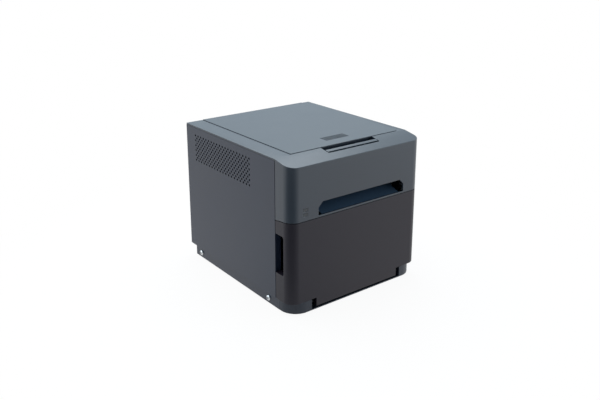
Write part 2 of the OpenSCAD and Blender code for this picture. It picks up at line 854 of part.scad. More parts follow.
// Sloped floor of the print exit, seen through the opening
module exit_chute() {
    rise = paper_z - 2 - exit_z;
    y0 = front_y + wall_t + slip;
    y1 = cutter_front - 1;
    z1 = exit_z + rise * (y1 - y0) / (chute_rear - y0);
    color("#20262d") {
        extrude_x(chute_left, chute_right) polygon([
            [y0, exit_z], [y0, exit_z - 1], [y1, z1 - guide_t], [y1, z1]
        ]);
        extrude_x(plate_left, plate_right) polygon([
            [y1 - eps, z1], [y1 - eps, z1 - guide_t], [chute_rear, exit_z + rise - guide_t],
            [chute_rear, exit_z + rise]
        ]);
        // ribs below the floor
        for (x = [plate_left + 8 : 24 : plate_right - 8])
            extrude_x(x, x + guide_t) polygon([
                [y0 + 4, exit_z + 0.5], [y0 + 4, exit_z - 1], [chute_rear, exit_z - 1],
                [chute_rear, exit_z + rise - 1]
            ]);
    }
}

// Upper guide of the print exit, between the chassis plates
module exit_hood() {
    hood_z = exit_z + exit_h + 0.5;
    hood_rear_z = paper_z + 5;
    color("#181c21")
        extrude_x(plate_left, plate_right) polygon([
            [front_y + wall_t + slip, hood_z], [front_y + wall_t + slip, hood_z + guide_t],
            [chute_rear, hood_rear_z + guide_t], [chute_rear, hood_rear_z]
        ]);
}

// ---- front door ----

// Notch of a finger recess in the door's side wall
module recess_notch(side) {
    y_from = seam_y - recess_l;
    r = 3;                   // rounded front corners
    extrude_x(side * half_w - 4, side * half_w + 4) {
        translate([y_from + r, recess_z]) square([recess_l + 1, recess_h]);
        translate([y_from, recess_z + r]) square([2 * r, recess_h - 2 * r]);
        for (z = [recess_z + r, recess_z + recess_h - r])
            translate([y_from + r, z]) circle(r);
    }
}

// Pocket behind the notch, open to the side and towards the side panel's flange
module recess_pocket() {
    pocket_t = 1.6;
    y_front = seam_y - recess_l;
    y_to = seam_y - seam_gap / 2;
    x = -half_w;
    difference() {
        block([x + wall_t - eps, y_front - pocket_t, recess_z - pocket_t],
              [x + recess_depth + pocket_t, y_to, recess_z + recess_h + pocket_t]);
        pocket_hollow(x, y_front, y_to);
    }
}

// Hollow of the pocket, its front wall slanting inwards
module pocket_hollow(x, y_front, y_to) {
    translate([0, 0, recess_z]) linear_extrude(recess_h) polygon([
        [x - 1, y_front], [x + wall_t, y_front + 0.5], [x + recess_depth, y_front + 5],
        [x + recess_depth, y_to + 1], [x - 1, y_to + 1]
    ]);
}

module front_door() {
    ribs = 6;
    rib_t = 1.5;
    rib_h = 4;
    rib_in = 8;
    rib_pitch = (tongue_right - tongue_left - 2 * rib_in - rib_t) / (ribs - 1);
    color("#3b393d") difference() {
        union() {
            intersection() {
                difference() {
                    translate([0, 0, door_bottom]) linear_extrude(seam_z - door_bottom)
                        casing_plan(0, corner_r, seam_y - seam_gap / 2);
                    translate([0, 0, door_bottom - 1]) linear_extrude(seam_z)
                        casing_plan(wall_t, corner_r - wall_t, rear_y);
                    // bevelled inner edge that swings past the corner posts
                    extrude_x(-half_w, half_w) polygon([
                        [front_y + wall_t / 2, door_bottom - eps],
                        [front_y + wall_t + eps, door_bottom - eps],
                        [front_y + wall_t + eps, door_bottom + wall_t / 2]
                    ]);
                }
                // the upper edge follows an arc around the hinge
                rod_x(door_arc_r, -half_w - 1, half_w + 1, hinge_y, hinge_z);
            }
            // low middle part between the corner posts
            block([tongue_left, front_y, tongue_z],
                  [tongue_right, front_y + wall_t, door_bottom + 1]);
            // hinge barrel
            rod_x(barrel_r, tongue_left, tongue_right, hinge_y, hinge_z);
            // ribs behind the front wall
            for (i = [0 : ribs - 1])
                let (x = tongue_left + rib_in + i * rib_pitch)
                block([x, front_y + wall_t - eps, hinge_z],
                      [x + rib_t, front_y + wall_t + rib_h, seam_z - 12]);
            block([tongue_left + rib_in, front_y + wall_t - eps, seam_z - 14],
                  [tongue_right - rib_in, front_y + wall_t + rib_h, seam_z - 12]);
            recess_pocket();
            mirror([1, 0, 0]) recess_pocket();
        }
        recess_notch(-1);
        recess_notch(1);
        for (x = [tongue_left - 1, tongue_right - 12])
            rod_x(door_pin_d / 2 + bore_gap, x, x + 13, hinge_y, hinge_z);
    }
}

module door_hinge_pins() {
    post_left = tongue_left - notch_w;
    post_right = tongue_right + notch_w;
    color("#b9bbbd") {
        rod_x(door_pin_d / 2, post_left - wall_t, tongue_left + 11, hinge_y, hinge_z);
        rod_x(door_pin_d / 2, tongue_right - 11, post_right + wall_t, hinge_y, hinge_z);
    }
}

// ---- rear connectors, switch and fan ----

module power_inlet() {
    depth = 20;
    y_back = rear_face + 1;
    half = 11;               // half the socket's width
    up = 7.5;                // half the socket's height
    cut = 4;
    color("#1c1d1f") difference() {
        union() {
            block([inlet_x - inlet_w / 2 - 2, rear_face, inlet_z - inlet_h / 2 - 2],
                  [inlet_x + inlet_w / 2 + 2, y_back, inlet_z + inlet_h / 2 + 2]);
            block([inlet_x - inlet_w / 2 + 0.1, rear_face - depth, inlet_z - inlet_h / 2 + 0.1],
                  [inlet_x + inlet_w / 2 - 0.1, rear_face + eps, inlet_z + inlet_h / 2 - 0.1]);
        }
        // socket with cut-off upper corners
        extrude_y(rear_face - depth + 3, y_back + 1) polygon([
            [inlet_x - half, inlet_z - up], [inlet_x + half, inlet_z - up],
            [inlet_x + half, inlet_z + up - cut], [inlet_x + half - cut, inlet_z + up],
            [inlet_x - half + cut, inlet_z + up], [inlet_x - half, inlet_z + up - cut]
        ]);
    }
    // contact blades
    color("#c8b27a")
        for (place = [[-6, -2], [6, -2], [0, 2.5]])
            block([inlet_x + place[0] - 1, rear_face - depth + 2.9, inlet_z + place[1] - 2],
                  [inlet_x + place[0] + 1, rear_face - 6, inlet_z + place[1] + 2]);
}

module usb_port() {
    depth = 15;
    inner = 0.8;
    color("#b4b6b8") {
        difference() {
            block([usb_x - usb_w / 2 + 0.1, rear_face - depth, usb_z - usb_h / 2 + 0.1],
                  [usb_x + usb_w / 2 - 0.1, rear_face + 0.4, usb_z + usb_h / 2 - 0.1]);
            extrude_y(rear_face - depth + 2, rear_face + 1) polygon([
                [usb_x - usb_w / 2 + inner, usb_z - usb_h / 2 + inner],
                [usb_x + usb_w / 2 - inner, usb_z - usb_h / 2 + inner],
                [usb_x + usb_w / 2 - inner, usb_z + usb_h / 2 - inner - 2],
                [usb_x + usb_w / 2 - inner - 2, usb_z + usb_h / 2 - inner],
                [usb_x - usb_w / 2 + inner + 2, usb_z + usb_h / 2 - inner],
                [usb_x - usb_w / 2 + inner, usb_z + usb_h / 2 - inner - 2]
            ]);
        }
        block([usb_x - 2.8, rear_face - depth + 1.9, usb_z - 1.6],
              [usb_x + 2.8, rear_face - 5.5, usb_z + 1.6]);
    }
}

module switch_frame() {
    rim = 1;
    depth = 13;
    x0 = inlet_x - rocker_w / 2;
    z0 = switch_z - rocker_h / 2;
    color("#1c1d1f") difference() {
        union() {
            block([x0 - rim - 1.5, rear_face, z0 - rim - 1.5],
                  [x0 + rocker_w + rim + 1.5, rear_face + 0.9, z0 + rocker_h + rim + 1.5]);
            block([x0 - rim + 0.1, rear_face - depth, z0 - rim + 0.1],
                  [x0 + rocker_w + rim - 0.1, rear_face + eps, z0 + rocker_h + rim - 0.1]);
        }
        block([x0, rear_face - depth + 1.5, z0], [x0 + rocker_w, rear_y + 1, z0 + rocker_h]);
        // pivots of the rocker
        rod_x(rocker_pin_r + bore_gap, x0 - 0.6, x0 + rocker_w + 0.6,
              rear_face - rocker_depth, switch_z);
    }
}

// Two-way rocker, shown with its upper half pressed in
module power_rocker() {
    x0 = inlet_x - rocker_w / 2 + slip;
    x1 = inlet_x + rocker_w / 2 - slip;
    reach = rocker_h / 2 - 0.8;
    color("#141516") {
        translate([0, rear_face - rocker_depth, switch_z]) rotate([rocker_tilt, 0, 0])
            extrude_x(x0, x1) polygon([
                [-3, -3], [3, -reach], [5.4, -reach], [4.6, 0], [5.4, reach],
                [3, reach], [-3, 3]
            ]);
        rod_x(rocker_pin_r, x0 - 0.7, x1 + 0.7, rear_face - rocker_depth, switch_z);
    }
}

module fan_frame() {
    y_to = rear_face - sheet_t;
    y_from = y_to - fan_t;
    color("#1b1c1e") {
        difference() {
            block([fan_x - fan_w / 2, y_from, fan_z - fan_w / 2],
                  [fan_x + fan_w / 2, y_to, fan_z + fan_w / 2]);
            rod_y(fan_w / 2 - 1.5, y_from - 1, y_to + 1, fan_x, fan_z);
            for (x = [-1, 1])
                for (z = [-1, 1])
                    rod_y(2.1, y_from - 1, y_to + 1, fan_x + x * (fan_w / 2 - 4.5),
                          fan_z + z * (fan_w / 2 - 4.5));
        }
        // motor seat on three spokes
        difference() {
            union() {
                rod_y(fan_hub_r - 1, y_to - fan_seat_t, y_to, fan_x, fan_z);
                for (turn = [90, 210, 330])
                    translate([fan_x, 0, fan_z]) rotate([0, turn, 0])
                        block([0, y_to - 2, -1.5], [fan_w / 2 - 1, y_to, 1.5]);
            }
            rod_y(fan_pin_r + bore_gap, y_to - fan_seat_t - 1, y_to + 1, fan_x, fan_z);
        }
    }
}

module fan_rotor() {
    y_to = rear_face - sheet_t - fan_seat_t - 0.8;
    y_from = rear_face - sheet_t - fan_t + 0.8;
    blade_r = fan_w / 2 - 2.7;
    blade_t = 1.4;
    color("#26282b") {
        rod_y(fan_hub_r, y_from, y_to, fan_x, fan_z);
        rod_y(fan_pin_r, y_from, y_to + fan_seat_t, fan_x, fan_z);
        // slanting blades, each cut from a ring
        intersection() {
            difference() {
                rod_y(blade_r, y_from, y_to, fan_x, fan_z);
                rod_y(fan_hub_r - 1, y_from - 1, y_to + 1, fan_x, fan_z);
            }
            for (i = [0 : fan_blades - 1])
                translate([fan_x, (y_from + y_to) / 2, fan_z])
                    rotate([0, i * 360 / fan_blades, 0]) rotate([38, 0, 0])
                        translate([0, -fan_t, -blade_t / 2])
                            cube([blade_r + 2, 2 * fan_t, blade_t]);
        }
    }
}

// ---- chassis ----

// Open-topped slot that a spool's journal drops into
module journal_slot(y, z) {
    r = spool_journal_r + 0.25;
    translate([y, z]) circle(r);
    translate([y - r, z]) square([2 * r, plate_top - z + 1]);
}

module frame_outline() {
    difference() {
        polygon([
            [plate_front, floor_z], [plate_rear, floor_z], [plate_rear, plate_top - 68],
            [plate_rear - 44, plate_top], [takeup_y - 14, plate_top],
            [takeup_y - 14, cutter_rod_z + 9], [cutter_front, cutter_rod_z + 9],
            [cutter_front, exit_z - 1], [plate_front, exit_z - 13]
        ]);
        translate([platen_y, platen_z]) circle(journal_r + bore_gap);
        translate([feed_y, feed_z]) circle(journal_r + bore_gap);
        translate([feed_y, pinch_z]) circle(pinch_journal_r + bore_gap);
        journal_slot(supply_y, supply_z);
        // lightening holes
        translate([roll_y, roll_z]) circle(12);
        translate([psu_front + 35, panel_bottom + 72]) circle(12);
        translate([supply_y + 42, supply_z - 12]) circle(9);
    }
}

// Foot bent outwards along the lower edge of a chassis plate
module frame_foot(x_from, x_to) {
    block([x_from, plate_front + 4, floor_z], [x_to, plate_rear - 4, floor_z + plate_t]);
}

module left_frame_plate() {
    color("#a9adb0") {
        extrude_x(plate_left - plate_t, plate_left) difference() {
            frame_outline();
            journal_slot(takeup_y, takeup_z);
            translate([motor_y, motor_z]) circle(motor_boss_r + 0.1);
        }
        frame_foot(plate_left - plate_t - plate_foot_w, plate_left - plate_t);
    }
}

module right_frame_plate() {
    color("#a9adb0") {
        extrude_x(plate_right, plate_right + plate_t) difference() {
            frame_outline();
            translate([takeup_y, takeup_z]) circle(spool_journal_r + bore_gap);
        }
        frame_foot(plate_right + plate_t, plate_right + plate_t + plate_foot_w);
    }
}

module tie_rods() {
    places = [
        [cutter_rod_y, exit_z - 7], [plate_rear - 18, plate_top - 78],
        [plate_rear - 48, plate_top - 10], [plate_front + 9, floor_z + 9]
    ];
    color("#c4c7c9")
        for (place = places)
            rod_x(tie_rod_r, plate_left, plate_right, place[0], place[1]);
}

// Deck between the paper roll and the print engine, its rear edge turned down
module media_deck() {
    y_to = roll_y + 44;
    deck_t = 1.5;
    bend_r = 6;
    color("#2f353c") {
        block([plate_left, plate_front + 2, deck_z], [plate_right, y_to, deck_z + deck_t]);
        translate([0, y_to, deck_z - bend_r + deck_t]) difference() {
            rod_x(bend_r, plate_left + 36, plate_right, 0, 0);
            rod_x(bend_r - deck_t, plate_left + 35, plate_right + 1, 0, 0);
            block([plate_left, -bend_r - 1, -bend_r - 1], [plate_right + 1, 0, bend_r + 1]);
            block([plate_left, -1, -bend_r - 1], [plate_right + 1, bend_r + 1, 0]);
        }
        for (i = [1 : 6])
            let (x = plate_left + i * (plate_right - plate_left) / 7)
            block([x - 0.8, plate_front + 6, deck_z + deck_t - eps],
                  [x + 0.8, y_to - 4, deck_z + 4]);
    }
}

// Side blocks with a slot, open to the front, for the roll's axle
module roll_cradles() {
    slot_r = roll_axle_r + 0.25;
    color("#2f353c") both_ends() extrude_x(frame_half - 7, frame_half) difference() {
        polygon([
            [roll_y - 24, roll_z - 24], [roll_y + 24, roll_z - 24], [roll_y + 24, roll_z + 8],
            [roll_y + 14, roll_z + 20], [roll_y - 4, roll_z + 20], [roll_y - 10, roll_z + 11],
            [roll_y - 24, roll_z - 8]
        ]);
        translate([roll_y, roll_z]) circle(slot_r);
        translate([roll_y, roll_z]) rotate(-6)
            translate([-40, -slot_r]) square([40, 2 * slot_r]);
    }
}

// ---- paper roll ----

module paper_roll() {
    color("#f1efe8") difference() {
        rod_x(roll_r, mech_x - paper_w / 2, mech_x + paper_w / 2, roll_y, roll_z);
        rod_x(core_r, mech_x - body_w, mech_x + body_w, roll_y, roll_z);
    }
}

module roll_core() {
    color("#c9a878") difference() {
        rod_x(core_r, mech_x - paper_w / 2, mech_x + paper_w / 2, roll_y, roll_z);
        rod_x(core_bore_r, mech_x - body_w, mech_x + body_w, roll_y, roll_z);
    }
}

module roll_flanges() {
    inner = paper_w / 2;
    window_r = (core_r + roll_r) / 2;
    color("#2a2c30") both_ends() difference() {
        union() {
            rod_x(roll_flange_r, inner, inner + 3, roll_y, roll_z);
            rod_x(core_bore_r - 0.2, inner - 12, inner + 1, roll_y, roll_z);
            rod_x(roll_axle_r, inner, frame_half - 1, roll_y, roll_z);
        }
        // windows between the spokes
        for (a = [0 : 72 : 359])
            rod_x(roll_r / 6, inner - 1, inner + 4, roll_y + window_r * cos(a),
                  roll_z + window_r * sin(a));
        // hollow plug
        rod_x(core_bore_r - 2.5, inner - 13, inner - 1, roll_y, roll_z);
    }
}

// ---- ribbon spools ----

module ribbon_core(y, z) {
    difference() {
        rod_x(ribbon_core_r, mech_x - core_half, mech_x + core_half, y, z);
        rod_x(core_hole_r, mech_x - core_half - 1, mech_x + core_half + 1, y, z);
    }
}

module supply_core() {
    color("#e3e1da") {
        ribbon_core(supply_y, supply_z);
        // end plugs with journals
        both_ends() {
            rod_x(core_hole_r + 0.5, ribbon_half - core_plug_l, core_half - 0.1,
                  supply_y, supply_z);
            rod_x(spool_journal_r, ribbon_half + 2, frame_half + plate_t, supply_y, supply_z);
        }
    }
}

module supply_ribbon() {
    color("#5a2d4a") difference() {
        rod_x(supply_r, mech_x - ribbon_half, mech_x + ribbon_half, supply_y, supply_z);
        rod_x(ribbon_core_r, mech_x - body_w, mech_x + body_w, supply_y, supply_z);
    }
}

module takeup_core() {
    color("#e3e1da") {
        ribbon_core(takeup_y, takeup_z);
        rod_x(core_hole_r + 0.5, mech_x - core_half + 0.1, mech_x - ribbon_half + core_plug_l,
              takeup_y, takeup_z);
        rod_x(spool_journal_r, mech_x - frame_half - plate_t, mech_x - ribbon_half - 2,
              takeup_y, takeup_z);
    }
}

module takeup_ribbon() {
    color("#3d2f52") difference() {
        rod_x(takeup_r, mech_x - ribbon_half, mech_x + ribbon_half, takeup_y, takeup_z);
        rod_x(ribbon_core_r, mech_x - body_w, mech_x + body_w, takeup_y, takeup_z);
    }
}

// Gear with a shaft and a splined dog that turns the take-up core
module takeup_gear() {
    shaft_x = mech_x + ribbon_half - 8;
    color("#dcdcd6") {
        gear_x(feed_teeth, ribbon_angle, ribbon_gear_x, takeup_y, takeup_z,
               spool_journal_r - 0.1);
        rod_x(spool_journal_r, shaft_x, ribbon_gear_x + gear_t + 1, takeup_y, takeup_z);
        for (a = [0 : 60 : 359])
            translate([0, takeup_y, takeup_z]) rotate([a, 0, 0])
                block([shaft_x, -0.8, spool_journal_r - 1], [mech_x + ribbon_half + 2, 0.8, 5.6]);
    }
}

module ribbon_pinion() {
    color("#d8c48c") {
        gear_x(pinion_teeth, ribbon_angle + 180 + 180 / pinion_teeth, ribbon_gear_x,
               ribbon_motor_y, ribbon_motor_z, 1.5);
        rod_x(ribbon_shaft_r, ribbon_gear_x, ribbon_plate_x + 3, ribbon_motor_y, ribbon_motor_z);
    }
}

module ribbon_motor() {
    x0 = ribbon_plate_x + sheet_t;
    color("#8e9296") difference() {
        union() {
            rod_x(ribbon_motor_r, x0, x0 + ribbon_motor_l, ribbon_motor_y, ribbon_motor_z);
            rod_x(3.5, x0, x0 + ribbon_motor_l + 2, ribbon_motor_y, ribbon_motor_z);
            rod_x(ribbon_boss_r, x0 - sheet_t, x0, ribbon_motor_y, ribbon_motor_z);
        }
        rod_x(ribbon_shaft_r + bore_gap, x0 - 2, x0 + 4, ribbon_motor_y, ribbon_motor_z);
    }
}

module ribbon_motor_plate() {
    posts = [
        [takeup_y - 18, takeup_z - 20], [takeup_y + 30, takeup_z + 8],
        [takeup_y + 6, takeup_z - 30]
    ];
    color("#a9adb0") {
        extrude_x(ribbon_plate_x, ribbon_plate_x + sheet_t) difference() {
            polygon([
                posts[0] + [-4, -4], posts[2] + [-3, -4], posts[2] + [5, -3],
                [ribbon_motor_y + 16, ribbon_motor_z - 4], posts[1] + [6, 5],
                posts[1] + [-6, 5], [takeup_y + 4, takeup_z - 6], posts[0] + [-4, 5]
            ]);
            translate([ribbon_motor_y, ribbon_motor_z]) circle(ribbon_boss_r + 0.05);
        }
        for (post = posts)
            rod_x(3, plate_right + plate_t, ribbon_plate_x, post[0], post[1]);
    }
}

// ---- rollers and drive ----

module platen_roller() {
    color("#202124") {
        rod_x(platen_r, mech_x - roller_half, mech_x + roller_half, platen_y, platen_z);
        rod_x(journal_r, plate_left - plate_t, plate_right + plate_t, platen_y, platen_z);
    }
}

module feed_roller() {
    color("#c7cacc") {
        rod_x(feed_r, mech_x - roller_half, mech_x + roller_half, feed_y, feed_z);
        rod_x(journal_r, gear_x, plate_right + plate_t, feed_y, feed_z);
    }
}

module feed_gear() {
    color("#e6e4dc")
        gear_x(feed_teeth, train_angle + 180 / feed_teeth, gear_x, feed_y, feed_z, journal_r);
}

module pinch_roller() {
    color("#3a3c40") {
        rod_x(pinch_r, mech_x - roller_half + 2, mech_x + roller_half - 2, feed_y, pinch_z);
        rod_x(pinch_journal_r, plate_left - plate_t, plate_right + plate_t, feed_y, pinch_z);
    }
}

module idler_gear() {
    color("#e6e4dc")
        gear_x(idler_teeth, train_angle, gear_x, idler_y, idler_z, idler_post_r + bore_gap);
}

// Fixed post with a head that keeps the idler gear in place
module idler_post() {
    color("#c7cacc") {
        rod_x(idler_post_r, gear_x - 0.5, plate_left - plate_t, idler_y, idler_z);
        rod_x(idler_post_r + 2, gear_x - 1.5, gear_x - 0.4, idler_y, idler_z);
        rod_x(idler_post_r + 2, gear_x + gear_t + 0.4, plate_left - plate_t, idler_y, idler_z);
    }
}

module motor_pinion() {
    color("#d8c48c") {
        gear_x(pinion_teeth, train_angle + 180 / pinion_teeth, gear_x, motor_y, motor_z, 2);
        rod_x(motor_shaft_r, gear_x - 1, plate_left + 4, motor_y, motor_z);
    }
}

module feed_motor() {
    half = motor_w / 2;
    cut = 4;
    color("#2b2d30") difference() {
        union() {
            extrude_x(plate_left, plate_left + motor_l) translate([motor_y, motor_z]) polygon([
                [-half + cut, -half], [half - cut, -half], [half, -half + cut],
                [half, half - cut], [half - cut, half], [-half + cut, half],
                [-half, half - cut], [-half, -half + cut]
            ]);
            rod_x(motor_boss_r, plate_left - plate_t, plate_left + 1, motor_y, motor_z);
        }
        rod_x(motor_shaft_r + bore_gap, plate_left - 3, plate_left + 6, motor_y, motor_z);
    }
}

// ---- thermal head on the lid ----

// Bridge below the lid with two side plates that hold the head
module head_bracket() {
    z_top = lid_under;
    pin_l = 6;
    color("#a9adb0") {
        block([mech_x - bracket_out, head_front - 6, z_top - bracket_t],
              [mech_x + bracket_out, head_rear + 6, z_top]);
        both_ends() extrude_x(bracket_in, bracket_out) difference() {
            polygon([
                [head_front - 6, z_top], [head_front - 6, z_top - 12],
                [head_front + 1, head_z + 18], [head_front + 1, head_z + 3],
                [head_rear - 1, head_z + 3], [head_rear - 1, head_z + 18],
                [head_rear + 6, z_top - 12], [head_rear + 6, z_top]
            ]);
            translate([platen_y, head_z + 34]) circle(6);
            translate([platen_y, head_z + head_h / 2]) circle(trunnion_r + 0.05);
        }
        // pins that guide the springs
        both_ends() translate([spring_x, platen_y, z_top - bracket_t - pin_l])
            cylinder(h = pin_l + eps, r = 2);
    }
}

module thermal_head() {
    color("#d9d7d0") {
        extrude_x(mech_x - head_half, mech_x + head_half) polygon([
            [head_front + 4, head_z], [head_rear - 4, head_z], [head_rear, head_z + 4],
            [head_rear, head_z + head_h], [head_front, head_z + head_h], [head_front, head_z + 4]
        ]);
        // trunnions in the side plates
        rod_x(trunnion_r, mech_x - bracket_out, mech_x + bracket_out,
              platen_y, head_z + head_h / 2);
    }
}

module head_heat_sink() {
    z0 = head_z + head_h;
    fins = 5;
    fin_t = 1.4;
    pitch = (head_rear - head_front - fin_t) / (fins - 1);
    color("#c2c6c9") {
        block([mech_x - head_half, head_front, z0],
              [mech_x + head_half, head_rear, z0 + sink_base_t]);
        for (i = [0 : fins - 1])
            block([mech_x - head_half + 18, head_front + i * pitch, z0 + sink_base_t - eps],
                  [mech_x + head_half - 18, head_front + i * pitch + fin_t, z0 + sink_h]);
    }
}

// Coil spring standing on its lower end, its wire with six sides
module coil_spring(r, wire_r, height, coils) {
    sides = 6;
    stations = 8 * coils;
    points = [
        for (i = [0 : stations])
            for (k = [0 : sides - 1])
                let (
                    turn = 360 * coils * i / stations,
                    out = r + wire_r * cos(360 * k / sides),
                    up = wire_r * sin(360 * k / sides)
                )
                [out * cos(turn), out * sin(turn),
                 0.87 * wire_r + (height - 1.74 * wire_r) * i / stations + up]
    ];
    last = stations * sides;
    polyhedron(points, concat(
        [for (a = [0 : last - 1])
            let (b = a % sides == sides - 1 ? a + 1 - sides : a + 1)
            each [[a, b, b + sides], [a, b + sides, a + sides]]],
        [for (k = [1 : sides - 2]) each [[0, k + 1, k], [last, last + k, last + k + 1]]]
    ));
}

// Springs that press the head down from the bridge
module head_springs() {
    z_low = head_z + head_h + sink_base_t;
    wire_r = 0.6;
    coils = 12;
    color("#c7cacc") both_ends() translate([spring_x, platen_y, z_low])
        coil_spring(spring_r, wire_r, lid_under - bracket_t - z_low, coils);
}

// ---- cutter ----

module cutter_rod() {
    color("#d0d3d5")
        rod_x(cutter_rod_r, plate_left, plate_right, cutter_rod_y, cutter_rod_z);
}

module cutter_carriage() {
    z_low = paper_z + 1.5;
    y_front = cutter_y + 1.2;
    color("#2a2c30") difference() {
        extrude_x(carriage_x - carriage_w / 2, carriage_x + carriage_w / 2) polygon([
            [y_front, z_low], [cutter_rod_y + 3, z_low], [cutter_rod_y + 4.6, z_low + 6],
            [cutter_rod_y + 4.6, cutter_rod_z + 4.8], [cutter_rod_y - 4, cutter_rod_z + 4.8],
            [y_front, cutter_rod_z]
        ]);
        rod_x(cutter_rod_r + bore_gap, carriage_x - carriage_w, carriage_x + carriage_w,
              cutter_rod_y, cutter_rod_z);
        rod_y(1.5 + bore_gap, cutter_y, cutter_y + 7, carriage_x, disc_z);
    }
}

// Round blade on its pin
module cutter_disc() {
    color("#d9dcde") {
        rod_y(disc_r, cutter_y - slip - blade_t, cutter_y - slip, carriage_x, disc_z);
        rod_y(1.5, cutter_y - slip - blade_t, cutter_y + 6, carriage_x, disc_z);
    }
}

module fixed_blade() {
    z_top = paper_z - 0.5;
    color("#d9dcde") {
        block([plate_left, cutter_y, z_top - 2.5], [plate_right, cutter_y + 8, z_top]);
        block([plate_left, cutter_y + 6, z_top - 6], [plate_right, cutter_y + 8, z_top - 2.5 + eps]);
    }
}

// ---- electronics ----

module power_supply() {
    low = floor_z;
    slots = 9;
    slot_w = 3;
    slot_in = 12;
    slot_pitch = (2 * psu_half - 2 * slot_in - slot_w) / (slots - 1);
    color("#b3b6b8") difference() {
        block([mech_x - psu_half, psu_front, low], [mech_x + psu_half, psu_rear, psu_top]);
        block([mech_x - psu_half + sheet_t, psu_front + sheet_t, low + sheet_t],
              [mech_x + psu_half - sheet_t, psu_rear - sheet_t, psu_top - sheet_t]);
        // vent slots in the top and the front
        for (i = [0 : slots - 1])
            let (x = mech_x - psu_half + slot_in + i * slot_pitch) {
                block([x, psu_front + 10, psu_top - 3], [x + slot_w, psu_rear - 10, psu_top + 1]);
                block([x, psu_front - 1, low + 12], [x + slot_w, psu_front + 3, psu_top - 12]);
            }
    }
    color("#caa24a") block([mech_x - 18, psu_front + 24, low + sheet_t],
                           [mech_x + 18, psu_front + 50, low + 36]);
    color("#2a3a55") for (x = [-38, 32])
        translate([mech_x + x, psu_front + 30, low + sheet_t]) cylinder(h = 30, r = 9);
}

module main_board() {
    color("#1f5a3a") difference() {
        block([board_x, board_front, board_low], [board_x + board_t, board_rear, board_high]);
        for (y = [board_front + board_hole_in, board_rear - board_hole_in])
            for (z = [board_low + board_hole_in, board_high - board_hole_in])
                rod_x(1.6, board_x - 1, board_x + board_t + 1, y, z);
    }
}

module board_parts() {
    x0 = board_x + board_t;
    y0 = board_front;
    z0 = board_low;
    chip_t = 2;
    sink_y = y0 + 90;
    sink_l = 34;
    sink_low = board_high - 38;
    sink_high = board_high - 12;
    fin_t = 2;
    fin_pitch = (sink_l - fin_t) / 5;
    // processor and memory
    color("#2b2d30") {
        block([x0, y0 + 40, z0 + 26], [x0 + chip_t, y0 + 68, z0 + 54]);
        block([x0, y0 + 90, z0 + 18], [x0 + chip_t, y0 + 108, z0 + 30]);
    }
    // heat sink with fins
    color("#b9bcbe") {
        block([x0, sink_y, sink_low], [x0 + chip_t, sink_y + sink_l, sink_high]);
        for (y = [sink_y : fin_pitch : sink_y + sink_l - fin_t + eps])
            block([x0 + chip_t - eps, y, sink_low], [x0 + 0.7 * part_h, y + fin_t, sink_high]);
    }
    // connectors along the lower edge
    color("#e8e4d8") for (y = [y0 + 14 : 26 : y0 + 118])
        block([x0, y, z0 + 2], [x0 + 7, y + 18, z0 + 8]);
    // three capacitors
    color("#3a4a7a") for (y = [y0 + 20 : 14 : y0 + 48])
        rod_x(5, x0, x0 + part_h, y, board_high - 26);
}

module board_standoffs() {
    color("#c8b27a")
        for (y = [board_front + board_hole_in, board_rear - board_hole_in])
            for (z = [board_low + board_hole_in, board_high - board_hole_in])
                rod_x(3, plate_right + plate_t, board_x, y, z);
}

base_pan();
base_bezel();
rubber_feet();
side_screws();
left_side_panel();
right_side_panel();
rear_panel();
rear_screws();
upper_front_cover();
exit_chute();
exit_hood();
status_lenses();
lid_hinge_pins();
door_hinge_pins();
power_inlet();
usb_port();
switch_frame();
power_rocker();
fan_frame();
fan_rotor();
top_cover();
head_bracket();
thermal_head();
head_heat_sink();
head_springs();
latch_lever();
front_door();
left_frame_plate();
right_frame_plate();
tie_rods();
media_deck();
roll_cradles();
paper_roll();
roll_core();
roll_flanges();
supply_core();
supply_ribbon();
takeup_core();
takeup_ribbon();
takeup_gear();
ribbon_pinion();
ribbon_motor();
ribbon_motor_plate();
platen_roller();
feed_roller();
feed_gear();
pinch_roller();
idler_gear();
idler_post();
motor_pinion();
feed_motor();
cutter_rod();
cutter_carriage();
cutter_disc();
fixed_blade();
power_supply();
main_board();
board_parts();
board_standoffs();
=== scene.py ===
# Looks of the compact photo printer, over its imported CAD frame.
# Metres, +X right as seen from the front, the front faces -Y, +Z up.
import json
import math

